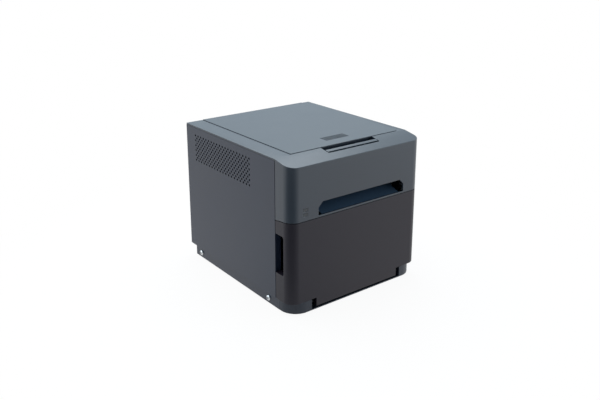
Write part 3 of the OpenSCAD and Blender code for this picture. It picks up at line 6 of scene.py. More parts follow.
import bpy
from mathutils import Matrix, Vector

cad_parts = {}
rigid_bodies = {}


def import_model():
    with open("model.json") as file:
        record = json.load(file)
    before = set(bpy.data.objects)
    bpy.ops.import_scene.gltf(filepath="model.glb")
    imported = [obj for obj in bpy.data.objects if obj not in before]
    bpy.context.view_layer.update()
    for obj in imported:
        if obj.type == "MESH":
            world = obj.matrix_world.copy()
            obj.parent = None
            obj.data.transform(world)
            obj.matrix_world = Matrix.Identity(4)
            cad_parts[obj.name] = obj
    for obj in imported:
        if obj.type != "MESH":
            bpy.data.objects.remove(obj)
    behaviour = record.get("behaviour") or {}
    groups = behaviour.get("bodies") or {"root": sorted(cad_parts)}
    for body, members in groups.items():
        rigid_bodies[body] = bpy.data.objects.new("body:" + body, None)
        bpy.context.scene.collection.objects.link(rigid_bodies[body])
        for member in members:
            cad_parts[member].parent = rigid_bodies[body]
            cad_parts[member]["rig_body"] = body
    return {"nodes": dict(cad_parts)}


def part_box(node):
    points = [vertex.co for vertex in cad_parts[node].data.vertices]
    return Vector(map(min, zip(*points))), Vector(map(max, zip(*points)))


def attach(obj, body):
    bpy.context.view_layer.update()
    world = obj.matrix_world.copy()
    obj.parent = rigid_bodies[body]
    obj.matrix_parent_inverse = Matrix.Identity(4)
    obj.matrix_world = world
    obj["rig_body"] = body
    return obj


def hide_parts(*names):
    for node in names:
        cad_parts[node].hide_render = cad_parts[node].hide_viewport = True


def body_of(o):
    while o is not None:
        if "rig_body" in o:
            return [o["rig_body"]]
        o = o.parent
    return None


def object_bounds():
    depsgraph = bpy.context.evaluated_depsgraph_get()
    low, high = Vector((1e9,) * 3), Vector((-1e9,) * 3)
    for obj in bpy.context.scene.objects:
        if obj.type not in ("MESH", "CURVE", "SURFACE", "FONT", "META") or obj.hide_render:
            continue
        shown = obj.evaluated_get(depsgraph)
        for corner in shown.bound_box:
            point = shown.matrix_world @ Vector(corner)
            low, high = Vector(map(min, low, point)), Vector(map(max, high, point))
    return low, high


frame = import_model()
cad_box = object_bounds()


# ---- Base pan ----
# Folded sheet steel, powder-coated in the casing's blue-grey. Everything inside is screwed to it;
# it rests on four moulded rubber feet.

def linear(hex_colour):
    """A colour written as sRGB hex, as linear RGBA."""
    parts = [int(hex_colour[i:i + 2], 16) / 255 for i in (1, 3, 5)]
    return [p / 12.92 if p < 0.04045 else ((p + 0.055) / 1.055) ** 2.4 for p in parts] + [1.0]


def add_node(material, kind, values={}, links={}, **settings):
    """Adds one node: values fill its sockets, links join them to (node, output) pairs."""
    tree = material.node_tree
    made = tree.nodes.new("ShaderNode" + kind)
    for name, value in settings.items():
        setattr(made, name, value)
    for name, value in values.items():
        made.inputs[name].default_value = value
    for name, (source, output) in links.items():
        tree.links.new(source.outputs[output], made.inputs[name])
    return made


def new_material(name, roughness, metallic=0.0, ior=1.5):
    """An empty finish and its shader."""
    material = bpy.data.materials.new(name)
    material.use_nodes = True
    shader = material.node_tree.nodes["Principled BSDF"]
    shader.inputs["Roughness"].default_value = roughness
    shader.inputs["Metallic"].default_value = metallic
    if not metallic:
        shader.inputs["IOR"].default_value = ior
    return material, shader


def join(material, source, output, target, socket):
    """Links one node's output to another node's socket."""
    material.node_tree.links.new(source.outputs[output], target.inputs[socket])


noise_span = {"From Min": 0.3, "From Max": 0.7}          # a noise's values mostly lie in it


def grained(name, colour, roughness, grain_mm, depth_mm, metallic=0.0, ior=1.5, shift=0.05):
    """A finish with an even grain, slow changes of tone and a slightly uneven gloss."""
    clouds_a_metre, speck_change, gloss_change = 14.0, 0.04, 0.012
    material, shader = new_material(name, roughness, metallic, ior)
    place = add_node(material, "TexCoord")
    grain = add_node(material, "TexNoise", {"Scale": 1000 / grain_mm, "Detail": 2.0},
                     {"Vector": (place, "Object")})
    cloud = add_node(material, "TexNoise", {"Scale": clouds_a_metre, "Detail": 3.0},
                     {"Vector": (place, "Object")})
    tone = add_node(material, "MapRange",
                    {**noise_span, "To Min": 1 - shift, "To Max": 1 + shift},
                    {"Value": (cloud, "Fac")})
    speck = add_node(material, "MapRange",
                     {**noise_span, "To Min": 1 - speck_change, "To Max": 1 + speck_change},
                     {"Value": (grain, "Fac")})
    both = add_node(material, "Math", links={0: (tone, "Result"), 1: (speck, "Result")},
                    operation="MULTIPLY")
    paint = add_node(material, "HueSaturation", {"Color": linear(colour)}, {"Value": (both, 0)})
    gloss = add_node(material, "MapRange",
                     {**noise_span, "To Min": roughness - gloss_change,
                      "To Max": roughness + gloss_change}, {"Value": (cloud, "Fac")})
    relief = add_node(material, "Bump", {"Strength": 1.0, "Distance": depth_mm / 1000},
                      {"Height": (grain, "Fac")})
    join(material, paint, "Color", shader, "Base Color")
    join(material, gloss, "Result", shader, "Roughness")
    join(material, relief, "Normal", shader, "Normal")
    return material


def finish(material, *names):
    """Puts a finish on CAD solids."""
    for name in names:
        for part in frame["nodes"][name].material_slots:
            part.material = material


# powder coat on sheet steel: a low orange-peel grain, drawn at 1.2 mm so that it shows
powder_coat = grained("blue-grey powder coat", "#1b2333", 0.4, 1.2, 0.02)
finish(powder_coat, "base_pan")

# moulded nitrile rubber: matt, almost black
rubber = grained("nitrile rubber", "#1a1a1b", 0.75, 0.8, 0.03)
finish(rubber, "rubber_feet")


# ---- Chassis plates and rods ----
# Zinc-plated sheet steel, punched and bent, joined by turned steel rods. The plates carry
# all rollers, spools and motors.

def plated_steel(name, colour, roughness):
    """Zinc plate: a faint spangle of crystals a few millimetres wide and fine rolling lines."""
    material, shader = new_material(name, roughness, 1.0)
    place = add_node(material, "TexCoord")
    crystal_mm, line_mm, line_length_mm = 6.25, 0.625, 25
    crystals = add_node(material, "TexVoronoi", {"Scale": 1000 / crystal_mm},
                        {"Vector": (place, "Object")})
    grey = add_node(material, "RGBToBW", links={"Color": (crystals, "Color")})
    along, across = 1000 / line_length_mm, 1000 / line_mm
    stretch = add_node(material, "Mapping", {"Scale": (along, along, across)},
                       {"Vector": (place, "Object")})
    lines = add_node(material, "TexNoise", {"Scale": 1.0, "Detail": 3.0},
                     {"Vector": (stretch, "Vector")})
    tone = add_node(material, "MapRange", {"To Min": 0.88, "To Max": 1.08}, {"Value": (grey, 0)})
    paint = add_node(material, "HueSaturation", {"Color": linear(colour)},
                     {"Value": (tone, "Result")})
    gloss = add_node(material, "MapRange", {"To Min": roughness - 0.08, "To Max": roughness + 0.1},
                     {"Value": (grey, 0)})
    relief = add_node(material, "Bump", {"Strength": 0.4, "Distance": 0.00003},
                      {"Height": (lines, "Fac")})
    join(material, paint, "Color", shader, "Base Color")
    join(material, gloss, "Result", shader, "Roughness")
    join(material, relief, "Normal", shader, "Normal")
    return material


def turned_metal(name, colour, roughness):
    """Ground or turned bar along X: fine rings across the bar."""
    material, shader = new_material(name, roughness, 1.0)
    place = add_node(material, "TexCoord")
    rings_a_mm, streaks_a_mm = 1.5, 0.06
    stretch = add_node(material, "Mapping",
                       {"Scale": (1000 * rings_a_mm, 1000 * streaks_a_mm, 1000 * streaks_a_mm)},
                       {"Vector": (place, "Object")})
    rings = add_node(material, "TexNoise", {"Scale": 1.0, "Detail": 2.0},
                     {"Vector": (stretch, "Vector")})
    tone = add_node(material, "MapRange", {"To Min": 0.85, "To Max": 1.1},
                    {"Value": (rings, "Fac")})
    paint = add_node(material, "HueSaturation", {"Color": linear(colour)},
                     {"Value": (tone, "Result")})
    gloss = add_node(material, "MapRange", {"To Min": roughness - 0.06, "To Max": roughness + 0.06},
                     {"Value": (rings, "Fac")})
    relief = add_node(material, "Bump", {"Strength": 0.5, "Distance": 0.00002},
                      {"Height": (rings, "Fac")})
    join(material, paint, "Color", shader, "Base Color")
    join(material, gloss, "Result", shader, "Roughness")
    join(material, relief, "Normal", shader, "Normal")
    return material


zinc_plate = plated_steel("zinc-plated steel", "#a3a49f", 0.42)
bare_steel, bare_roughness = "#c9cbcd", 0.25
ground_steel = turned_metal("ground steel", bare_steel, bare_roughness)
finish(zinc_plate, "left_frame_plate", "right_frame_plate")
finish(ground_steel, "tie_rods", "lid_hinge_pins", "idler_post", "cutter_rod")
# blackened pins: they don't flash in the notches beside the door
finish(turned_metal("blackened steel", "#2a2b2e", 0.4), "door_hinge_pins")


# ---- Power supply ----
# Folded box of plated steel behind the roll bay. Inside stand a transformer wrapped in yellow
# polyester tape and two electrolytic capacitors in blue shrunk sleeves.

def copy_of(node, name):
    """A separate copy of a CAD solid, its loose triangles joined into whole faces."""
    bpy.ops.object.select_all(action="DESELECT")
    piece = bpy.data.objects.new(name, frame["nodes"][node].data.copy())
    bpy.context.scene.collection.objects.link(piece)
    bpy.context.view_layer.objects.active = piece
    piece.select_set(True)
    if piece.data.has_custom_normals:
        bpy.ops.mesh.customdata_custom_splitnormals_clear()
    bpy.ops.object.mode_set(mode="EDIT")
    bpy.ops.mesh.select_mode(type="EDGE")
    bpy.ops.mesh.select_all(action="SELECT")
    bpy.ops.mesh.remove_doubles(threshold=0.000002)
    bpy.ops.mesh.dissolve_limited(angle_limit=math.radians(0.4))
    bpy.ops.object.mode_set(mode="OBJECT")
    return piece


def stands_for(piece, node, *materials):
    """The piece takes the place of a CAD solid and moves as it does."""
    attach(piece, body_of(frame["nodes"][node])[0])
    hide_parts(node)
    piece.data.materials.clear()
    for material in materials:
        piece.data.materials.append(material)


def leave_edit():
    """Back to object mode, curved faces shaded smooth."""
    bpy.ops.object.mode_set(mode="OBJECT")
    bpy.ops.object.shade_smooth_by_angle(angle=math.radians(30))


def loose_parts(node):
    """A copy of a CAD solid's separate parts, each an object of its own, with its middle."""
    copy_of(node, node + "_part")
    bpy.ops.object.mode_set(mode="EDIT")
    bpy.ops.mesh.select_all(action="SELECT")
    bpy.ops.mesh.separate(type="LOOSE")
    leave_edit()
    parts = []
    for part in bpy.context.selected_objects:
        places = [v.co for v in part.data.vertices]
        low = [min(p[axis] for p in places) for axis in range(3)]
        high = [max(p[axis] for p in places) for axis in range(3)]
        parts.append((part, [(a + b) / 2 for a, b in zip(low, high)],
                      [b - a for a, b in zip(low, high)]))
    return sorted(parts, key=lambda row: row[1])


# polyester tape: bright yellow film with a soft gloss; its 10 mm turns show as faint bands
tape = grained("yellow polyester tape", "#c8982c", 0.3, 10, 0.02, shift=0.15)
# shrunk sleeve: smooth plastic film with a soft gloss
blue_sleeve = grained("blue shrink sleeve", "#223452", 0.32, 2.0, 0.01)
case_over, transformer_over = 0.06, 0.03           # widths that tell the parts apart
for part, middle, size in loose_parts("power_supply"):
    if size[0] > case_over:
        stands_for(part, "power_supply", zinc_plate)
    elif size[0] > transformer_over:
        stands_for(part, "power_supply", tape)
    else:
        stands_for(part, "power_supply", blue_sleeve)


# ---- Main board ----
# Glass-fibre circuit board with a green solder mask. It stands on turned brass posts on the
# right plate and carries its chips, heat sink, capacitors and connectors.

def solder_mask():
    """Green lacquer over copper tracks: rows of fine parallel lines that step across the board."""
    material, shader = new_material("green solder mask", 0.35, 0.0, 1.55)
    place = add_node(material, "TexCoord")
    turn = add_node(material, "Mapping", {"Rotation": (0.0, math.radians(90), 0.0)},
                    {"Vector": (place, "Object")})
    track_scale = 55.0                   # rows 4.5 mm apart, in steps of 9 mm
    tracks = add_node(material, "TexBrick", {"Scale": track_scale, "Mortar Size": 0.06,
                                             "Color1": linear("#1c5238"),
                                             "Color2": linear("#215c40"),
                                             "Mortar": linear("#2f7553")},
                      {"Vector": (turn, "Vector")})
    relief = add_node(material, "Bump", {"Strength": 0.3, "Distance": 0.00005},
                      {"Height": (tracks, "Fac")})
    join(material, tracks, "Color", shader, "Base Color")
    join(material, relief, "Normal", shader, "Normal")
    return material


# brass: yellow and bright, with fine turning rings
brass = turned_metal("turned brass", "#c8ab62", 0.28)
finish(solder_mask(), "main_board")
finish(brass, "board_standoffs", "motor_pinion", "ribbon_pinion")
# epoxy is matt, nylon waxy and ivory, anodised aluminium satin and nearly black
epoxy = grained("moulded black epoxy", "#1f2023", 0.5, 0.5, 0.01)
nylon = grained("ivory nylon", "#dfdac8", 0.42, 0.8, 0.01)
anodised = grained("black anodised aluminium", "#26282c", 0.38, 0.6, 0.01)
board_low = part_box("main_board")[0]
chip_height, row_height = 0.003, 0.010
for part, middle, size in loose_parts("board_parts"):
    if middle[2] < board_low[2] + row_height:
        stands_for(part, "board_parts", nylon)           # connectors along the lower edge
    elif size[0] < chip_height:
        stands_for(part, "board_parts", epoxy)           # processor and memory
    elif size[1] > 2 * row_height:
        stands_for(part, "board_parts", anodised)        # finned heat sink
    else:
        stands_for(part, "board_parts", blue_sleeve)     # capacitors


# ---- Rollers, gears and feed motor ----
# Ground steel feed roller with a grit band, silicone-rubber platen and pinch rollers; acetal
# gears driven by a stepper motor.

def sleeved(name, colour, roughness, axis_y, axis_z, shaft_radius):
    """A sleeve on a bare steel shaft along X: what lies nearer the axis than the sleeve shines."""
    material, shader = new_material(name, roughness)
    place = add_node(material, "TexCoord")
    across = add_node(material, "Mapping", {"Location": (0.0, -axis_y, -axis_z),
                                            "Scale": (0.0, 1.0, 1.0)},
                      {"Vector": (place, "Object")})
    distance = add_node(material, "VectorMath", links={0: (across, "Vector")},
                        operation="LENGTH")
    bare = add_node(material, "Math", {1: shaft_radius}, {0: (distance, "Value")},
                    operation="LESS_THAN")
    grains_a_mm = 1.4
    grain = add_node(material, "TexNoise", {"Scale": 1000 * grains_a_mm, "Detail": 2.0},
                     {"Vector": (place, "Object")})
    speck = add_node(material, "MapRange", {**noise_span, "To Min": 0.9, "To Max": 1.1},
                     {"Value": (grain, "Fac")})
    paint = add_node(material, "Mix", {"A": linear(colour), "B": linear(bare_steel)},
                     {"Factor": (bare, 0)}, data_type="RGBA")
    toned = add_node(material, "HueSaturation", links={"Color": (paint, "Result"),
                                                       "Value": (speck, "Result")})
    gloss = add_node(material, "MapRange", {"To Min": roughness, "To Max": bare_roughness},
                     {"Value": (bare, 0)})
    relief = add_node(material, "Bump", {"Strength": 0.6, "Distance": 0.00002},
                      {"Height": (grain, "Fac")})
    join(material, toned, "Color", shader, "Base Color")
    join(material, bare, 0, shader, "Metallic")
    join(material, gloss, "Result", shader, "Roughness")
    join(material, relief, "Normal", shader, "Normal")
    return material


def axis_of(node):
    """Y and Z of the axis of a round solid along X."""
    low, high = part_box(node)
    return (low[1] + high[1]) / 2, (low[2] + high[2]) / 2


# the feed roller's grit is plated on in a band; silicone rubber is matt and grips the paper
shaft_radius, pinch_shaft_radius = 0.0042, 0.0027
finish(sleeved("gritted steel", "#8e9092", 0.5, *axis_of("feed_roller"), shaft_radius),
       "feed_roller")
finish(sleeved("grey silicone rubber", "#2b2c30", 0.62, *axis_of("platen_roller"), shaft_radius),
       "platen_roller")
finish(sleeved("black silicone rubber", "#1d1e21", 0.62, *axis_of("pinch_roller"),
               pinch_shaft_radius), "pinch_roller")
# natural acetal: ivory, waxy gloss
acetal = grained("natural acetal", "#e6e2d6", 0.34, 1.0, 0.005, ior=1.48)
finish(acetal, "feed_gear", "idler_gear", "takeup_gear", "supply_core", "takeup_core")


wave_metre = 0.314                       # the scale at which a wave repeats once a metre


def laminated(name, colour, sheet_mm):
    """Stack of punched steel sheets along X: the sheets' edges show as fine lines."""
    material, shader = new_material(name, 0.4, 1.0)
    place = add_node(material, "TexCoord")
    sheets = add_node(material, "TexWave", {"Scale": wave_metre / (sheet_mm / 1000),
                                            "Distortion": 0.3}, {"Vector": (place, "Object")},
                      wave_type="BANDS", bands_direction="X")
    tone = add_node(material, "MapRange", {"To Min": 0.6, "To Max": 1.1},
                    {"Value": (sheets, "Fac")})
    paint = add_node(material, "HueSaturation", {"Color": linear(colour)},
                     {"Value": (tone, "Result")})
    relief = add_node(material, "Bump", {"Strength": 0.6, "Distance": 0.00008},
                      {"Height": (sheets, "Fac")})
    join(material, paint, "Color", shader, "Base Color")
    join(material, relief, "Normal", shader, "Normal")
    return material


# the motor's stack of sheets, drawn 1 mm thick, sits between two die-cast end caps, matt grey
cast_aluminium = grained("die-cast aluminium", "#85888b", 0.45, 0.8, 0.02, metallic=1.0)
stack_steel = laminated("oxidised laminated steel", "#4a4c50", 1.0)
motor_low, motor_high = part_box("feed_motor")
cap_length = 0.0085
stack_start, stack_end = motor_low[0] + cap_length, motor_high[0] - cap_length
motor = copy_of("feed_motor", "feed_motor_body")
bpy.ops.object.mode_set(mode="EDIT")
for cut_x in (stack_start, stack_end):
    bpy.ops.mesh.select_all(action="SELECT")
    bpy.ops.mesh.bisect(plane_co=(cut_x, 0, 0), plane_no=(1, 0, 0))
leave_edit()
stands_for(motor, "feed_motor", cast_aluminium, stack_steel)
for face in motor.data.polygons:
    in_stack = stack_start < face.center[0] < stack_end
    face.material_index = 1 if in_stack and abs(face.normal[0]) < 0.5 else 0


def settled(name, body, material):
    """The new object's place and size move into its mesh, and it rides on a body."""
    bpy.ops.object.transform_apply(location=True, rotation=True, scale=True)
    piece = bpy.context.object
    piece.name = name
    piece.data.materials.append(material)
    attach(piece, body)
    return piece


def pick_faces(piece, wanted):
    """Selects in edit mode the faces whose middle and normal the test accepts."""
    bpy.ops.object.mode_set(mode="EDIT")
    bpy.ops.mesh.select_mode(type="FACE")
    bpy.ops.mesh.select_all(action="DESELECT")
    bpy.ops.object.mode_set(mode="OBJECT")
    for face in piece.data.polygons:
        face.select = wanted(face.center, face.normal)
    bpy.ops.object.mode_set(mode="EDIT")


def slab(name, low, high, body, material, radius=0.0004):
    """A block between two corners with small rounded edges, left in edit mode, all selected."""
    bpy.ops.object.select_all(action="DESELECT")
    bpy.ops.mesh.primitive_cube_add(size=1, location=[(a + b) / 2 for a, b in zip(low, high)],
                                    scale=[b - a for a, b in zip(low, high)])
    piece = settled(name, body, material)
    bpy.ops.object.mode_set(mode="EDIT")
    bpy.ops.mesh.select_all(action="SELECT")
    bpy.ops.mesh.bevel(offset=radius, segments=2, affect="EDGES")
    return piece


def copied(piece, name, shift, body):
    """A copy of a new piece, with a mesh of its own, moved by the shift."""
    bpy.ops.object.select_all(action="DESELECT")
    piece.select_set(True)
    bpy.context.view_layer.objects.active = piece
    bpy.ops.object.duplicate()
    twin = bpy.context.object
    twin.name = name
    bpy.ops.object.mode_set(mode="EDIT")
    bpy.ops.mesh.select_all(action="SELECT")
    bpy.ops.transform.translate(value=shift)
    bpy.ops.object.mode_set(mode="OBJECT")
    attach(twin, body)


# bright nickel-plated screws in the right end cap: cheese heads with a round recess
screw_plate = grained("nickel-plated screw steel", "#c6c8ca", 0.22, 0.6, 0.005, metallic=1.0)
motor_y, motor_z = axis_of("feed_motor")
screw_radius, screw_height, screw_spread = 0.0028, 0.002, 0.0155
outer_ring, inner_ring, recess_depth = 0.0004, 0.0009, 0.0012    # two flat rings, then the recess
bpy.ops.object.select_all(action="DESELECT")
bpy.ops.mesh.primitive_cylinder_add(
    vertices=24, radius=screw_radius, depth=screw_height, rotation=(0, math.radians(90), 0),
    location=(motor_high[0] + screw_height / 2, motor_y - screw_spread, motor_z - screw_spread))
screw = settled("motor_screw_1", "casing", screw_plate)
pick_faces(screw, lambda middle, normal: normal[0] > 0.9)
bpy.ops.mesh.inset(thickness=outer_ring)
bpy.ops.mesh.inset(thickness=inner_ring)
bpy.ops.mesh.extrude_region_move(TRANSFORM_OT_translate={"value": (-recess_depth, 0, 0)})
leave_edit()
for number, (side, up) in enumerate([(0, 1), (1, 0), (1, 1)]):
    copied(screw, f"motor_screw_{number + 2}",
           (0, 2 * side * screw_spread, 2 * up * screw_spread), "casing")

# connector on the motor's rear side, its socket open upwards
plug_low, plug_high = (-0.0530, 0.0410, 0.1080), (-0.0390, 0.0470, 0.1180)
plug_wall, plug_depth = 0.0008, 0.006
plug = slab("motor_connector", plug_low, plug_high, "casing", nylon)
pick_faces(plug, lambda middle, normal: normal[2] > 0.99)
bpy.ops.mesh.inset(thickness=plug_wall)
bpy.ops.mesh.extrude_region_move(TRANSFORM_OT_translate={"value": (0, 0, -plug_depth)})
leave_edit()


# ---- Deck and roll cradles ----
# Black mouldings between the two frame plates: a deck under the paper and two blocks with open
# slots for the roll's axle. Glass-filled plastic is matt, with a coarse spark-eroded grain.

black_plastic = grained("black moulded plastic", "#17191c", 0.48, 0.9, 0.03)
finish(black_plastic, "media_deck", "roll_cradles")


# ---- Paper roll ----
# Coated white photo paper wound on a spiral cardboard core, between two moulded flanges whose
# axle rests in the cradles. The paper has a soft gloss, the cardboard none.

def wound(name, colour, dark, roughness, axis_y, axis_z, turn_mm, ior=1.5):
    """Material wound round an axis along X: its ends show the edges of the turns as rings."""
    material, shader = new_material(name, roughness, 0.0, ior)
    place = add_node(material, "TexCoord")
    centred = add_node(material, "Mapping", {"Location": (0.0, -axis_y, -axis_z)},
                       {"Vector": (place, "Object")})
    rings = add_node(material, "TexWave", {"Scale": wave_metre / (turn_mm / 1000),
                                           "Distortion": 0.6, "Detail": 2.0},
                     {"Vector": (centred, "Vector")}, wave_type="RINGS", rings_direction="X")
    normal = add_node(material, "NewGeometry")
    sides = add_node(material, "SeparateXYZ", links={"Vector": (normal, "Normal")})
    facing = add_node(material, "Math", links={0: (sides, "X")}, operation="ABSOLUTE")
    edge = add_node(material, "Math", links={0: (rings, "Fac"), 1: (facing, 0)},
                    operation="MULTIPLY")
    paint = add_node(material, "Mix", {"A": linear(colour), "B": linear(dark)},
                     {"Factor": (edge, 0)}, data_type="RGBA")
    relief = add_node(material, "Bump", {"Strength": 0.5, "Distance": 0.0001},
                      {"Height": (edge, 0)})
    join(material, paint, "Result", shader, "Base Color")
    join(material, relief, "Normal", shader, "Normal")
    return material


roll_axis = axis_of("roll_core")
finish(wound("coated photo paper", "#f2f0ea", "#d8d4ca", 0.4, *roll_axis, 1.4), "paper_roll")
finish(wound("spiral-wound cardboard", "#b99a70", "#97784f", 0.85, *roll_axis, 0.9), "roll_core")
finish(black_plastic, "roll_flanges")


# ---- Ribbon spools ----
# Dyed polyester film, very glossy, wound on acetal cores. A small motor in a plated can, on a
# plate with posts, turns the take-up core.

supply_axis = axis_of("supply_core")
takeup_axis = axis_of("takeup_core")
finish(wound("magenta dye ribbon", "#5b2140", "#33101f", 0.18, *supply_axis, 0.9, 1.6),
       "supply_ribbon")
finish(wound("used dye ribbon", "#3b2c4b", "#1d1527", 0.2, *takeup_axis, 0.9, 1.6),
       "takeup_ribbon")
finish(zinc_plate, "ribbon_motor_plate")
finish(turned_metal("nickel-plated can", "#9fa2a4", 0.3), "ribbon_motor")
# two solder tags on the can's outer end
can_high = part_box("ribbon_motor")[1]
can_y, can_z = axis_of("ribbon_motor")
tag_x = can_high[0] - 0.002
tag_offset, tag_half_width, tag_half_thick, tag_length = 0.007, 0.0012, 0.0003, 0.0018
tag = slab("solder_tag_1", (tag_x, can_y - tag_offset - tag_half_width, can_z - tag_half_thick),
           (tag_x + tag_length, can_y - tag_offset + tag_half_width, can_z + tag_half_thick),
           "casing", brass, 0.0001)
bpy.ops.object.mode_set(mode="OBJECT")
copied(tag, "solder_tag_2", (0, 2 * tag_offset, 0), "casing")


# ---- Cutter ----
# A hardened disc on a moulded carriage runs along a ground rod over a fixed blade. Both
# blades are ground bright.

finish(black_plastic, "cutter_carriage")
finish(turned_metal("hardened blade steel", "#cfd2d4", 0.16), "cutter_disc", "fixed_blade")


# ---- Print exit ----
# Dark matt mouldings behind the opening in the upper front: a sloped floor below the print and
# a guide above it.

exit_plastic = grained("dark blue-black plastic", "#304356", 0.42, 0.9, 0.02)
finish(exit_plastic, "exit_chute", "exit_hood")


# ---- Sheet panels ----
# Punched and powder-coated steel: a field of vent holes in each side, a fan grille and slots
# in the rear. Bright screws hold the rear panel and the base's side walls.

finish(powder_coat, "left_side_panel", "right_side_panel", "rear_panel")
finish(screw_plate, "side_screws", "rear_screws")
# black open-cell foam glued behind the rear panel's slots catches the dust that the fan draws in
foam = grained("black filter foam", "#141416", 0.85, 1.6, 0.25)
fan_low, fan_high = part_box("fan_frame")
fan_x, fan_z = (fan_low[0] + fan_high[0]) / 2, (fan_low[2] + fan_high[2]) / 2
slots_from_fan, filter_half_width = 0.062, 0.017
filter_down, filter_up = 0.025, 0.024                    # from the fan's axis
filter_front, filter_back = fan_high[1] - 0.0035, fan_high[1] - 0.0001
filter_x = fan_x - slots_from_fan
dust_filter = slab("dust_filter_1",
                   (filter_x - filter_half_width, filter_front, fan_z - filter_down),
                   (filter_x + filter_half_width, filter_back, fan_z + filter_up),
                   "casing", foam, 0.0008)
bpy.ops.object.mode_set(mode="OBJECT")
copied(dust_filter, "dust_filter_2", (2 * slots_from_fan, 0, 0), "casing")


# ---- Fan, sockets, switch and indicator windows ----
# Glass-filled black mouldings in and behind the rear panel, with a data socket drawn from
# plated steel and a glossy rocker. The windows fill two openings in the front cover.

finish(black_plastic, "fan_frame", "fan_rotor", "switch_frame")
contact_under = 0.01                                     # the brass contacts are narrower
for part, middle, size in loose_parts("power_inlet"):
    stands_for(part, "power_inlet", black_plastic if size[0] > contact_under else brass)
finish(zinc_plate, "usb_port")
finish(grained("glossy black plastic", "#0f1011", 0.15, 1.5, 0.003), "power_rocker")
# the two indicator windows: smoked polycarbonate, hardly darker than the cover when unlit
finish(grained("smoked polycarbonate", "#1d242c", 0.22, 1.5, 0.002, ior=1.58), "status_lenses")


# ---- Upper cover, lid and latch ----
# Injection-moulded ABS, blue-grey, with a fine spark-eroded texture that gives a satin gloss.
# The lid turns on pins at the rear, the lever in the slot in front of it.

abs_grey = grained("blue-grey moulded ABS", "#1c2733", 0.36, 0.9, 0.02, ior=1.54)
# the moulding is a little shinier than plain ABS
abs_shader = abs_grey.node_tree.nodes["Principled BSDF"]
abs_shader.inputs["Specular IOR Level"].default_value = 0.6
casing_low, casing_high = cad_box
corner_radius = 0.015
slope_depth, slope_drop = 0.032, 0.006
lid_rise = 0.0006                        # the lid stands a little above the strips beside it
top_z = casing_high[2] - lid_rise
on_skin_within = 0.00005                 # what lies nearer to the skin than this is on it


def on_casing(x, y, z):
    """Whether a place lies on the casing's outer skin: a side, the front, a corner or the top."""
    round_x = abs(x) - (casing_high[0] - corner_radius)
    round_y = casing_low[1] + corner_radius - y
    if round_x > 0 and round_y > 0:
        beside = abs(math.hypot(round_x, round_y) - corner_radius)
    else:
        beside = min(abs(casing_high[0] - abs(x)), abs(y - casing_low[1]))
    behind_slope = max(0.0, casing_low[1] + slope_depth - y)
    above = abs(top_z - slope_drop * behind_slope / slope_depth - z)
    return min(beside, above) < on_skin_within


def eased(node, radius_mm, material, on_skin):
    """A copy of a CAD moulding with its outer edges rounded as the mould leaves them."""
    sharp_over, smooth_under = math.radians(40), math.radians(38)
    piece = copy_of(node, node + "_moulded")
    bpy.ops.object.mode_set(mode="EDIT")
    bpy.ops.mesh.select_all(action="DESELECT")
    bpy.ops.mesh.edges_select_sharp(sharpness=sharp_over)
    bpy.ops.object.mode_set(mode="OBJECT")
    places = [v.co.copy() for v in piece.data.vertices]
    sharp = [e.select and all(on_skin(*places[v]) for v in e.vertices) for e in piece.data.edges]
    for face in piece.data.polygons:
        face.select = False
    for corner in piece.data.vertices:
        corner.select = False
    for edge, wanted in zip(piece.data.edges, sharp):
        edge.select = wanted
    bpy.ops.object.mode_set(mode="EDIT")
    bpy.ops.mesh.bevel(offset=radius_mm / 1000, segments=2, affect="EDGES", clamp_overlap=False)
    bpy.ops.object.mode_set(mode="OBJECT")
    bpy.ops.object.shade_smooth_by_angle(angle=smooth_under)
    weighted = piece.modifiers.new("flat faces stay flat", "WEIGHTED_NORMAL")
    weighted.keep_sharp = True
    bpy.ops.object.modifier_apply(modifier=weighted.name)
    stands_for(piece, node, material)


lid_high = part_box("top_cover")[1]


def on_lid(x, y, z):
    """Whether a place lies on the rim of the lid's top."""
    return abs(z - lid_high[2]) < on_skin_within


eased("upper_front_cover", 0.6, abs_grey, on_casing)
eased("top_cover", 0.4, abs_grey, on_lid)
finish(abs_grey, "latch_lever")


# ---- Thermal head ----
# Ceramic head under an extruded aluminium heat sink, pressed down by coil springs and hung
# from the lid on a plated bracket. Alumina is ivory-white and smooth.

finish(zinc_plate, "head_bracket")
finish(grained("alumina ceramic", "#e2dfd6", 0.3, 0.7, 0.005, ior=1.76), "thermal_head")
finish(turned_metal("extruded aluminium", "#c3c6c9", 0.34), "head_heat_sink")
finish(turned_metal("spring steel wire", "#b3b5b8", 0.3), "head_springs")
head_low, head_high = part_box("thermal_head")
head_x = (head_low[0] + head_high[0]) / 2
nip_y = (head_low[1] + head_high[1]) / 2
paper_half = 0.057
# fired glass ridge with the heating elements: a dark glossy bead across the paper's width
glaze_half, glaze_below, glaze_above = 0.0014, 0.00015, 0.0002
glaze = grained("fired glass glaze", "#3b2a20", 0.12, 2.0, 0.001, ior=1.55)
slab("heater_glaze", (head_x - paper_half, nip_y - glaze_half, head_low[2] - glaze_below),
     (head_x + paper_half, nip_y + glaze_half, head_low[2] + glaze_above), "lid", glaze, 0.00014)
bpy.ops.object.mode_set(mode="OBJECT")
# cover of the driver chips on the head's front: a shallow field inside a raised rim
cover_half, cover_thick = paper_half - 0.004, 0.0016
cover_bottom, cover_top = head_low[2] + 0.0055, head_low[2] + 0.0125
cover_rim, cover_recess = 0.0012, 0.0005
cover = slab("driver_cover", (head_x - cover_half, head_low[1] - cover_thick, cover_bottom),
             (head_x + cover_half, head_low[1], cover_top), "lid", black_plastic, 0.0005)
pick_faces(cover, lambda middle, normal: normal[1] < -0.99)
bpy.ops.mesh.inset(thickness=cover_rim)
bpy.ops.mesh.extrude_region_move(TRANSFORM_OT_translate={"value": (0, cover_recess, 0)})
leave_edit()


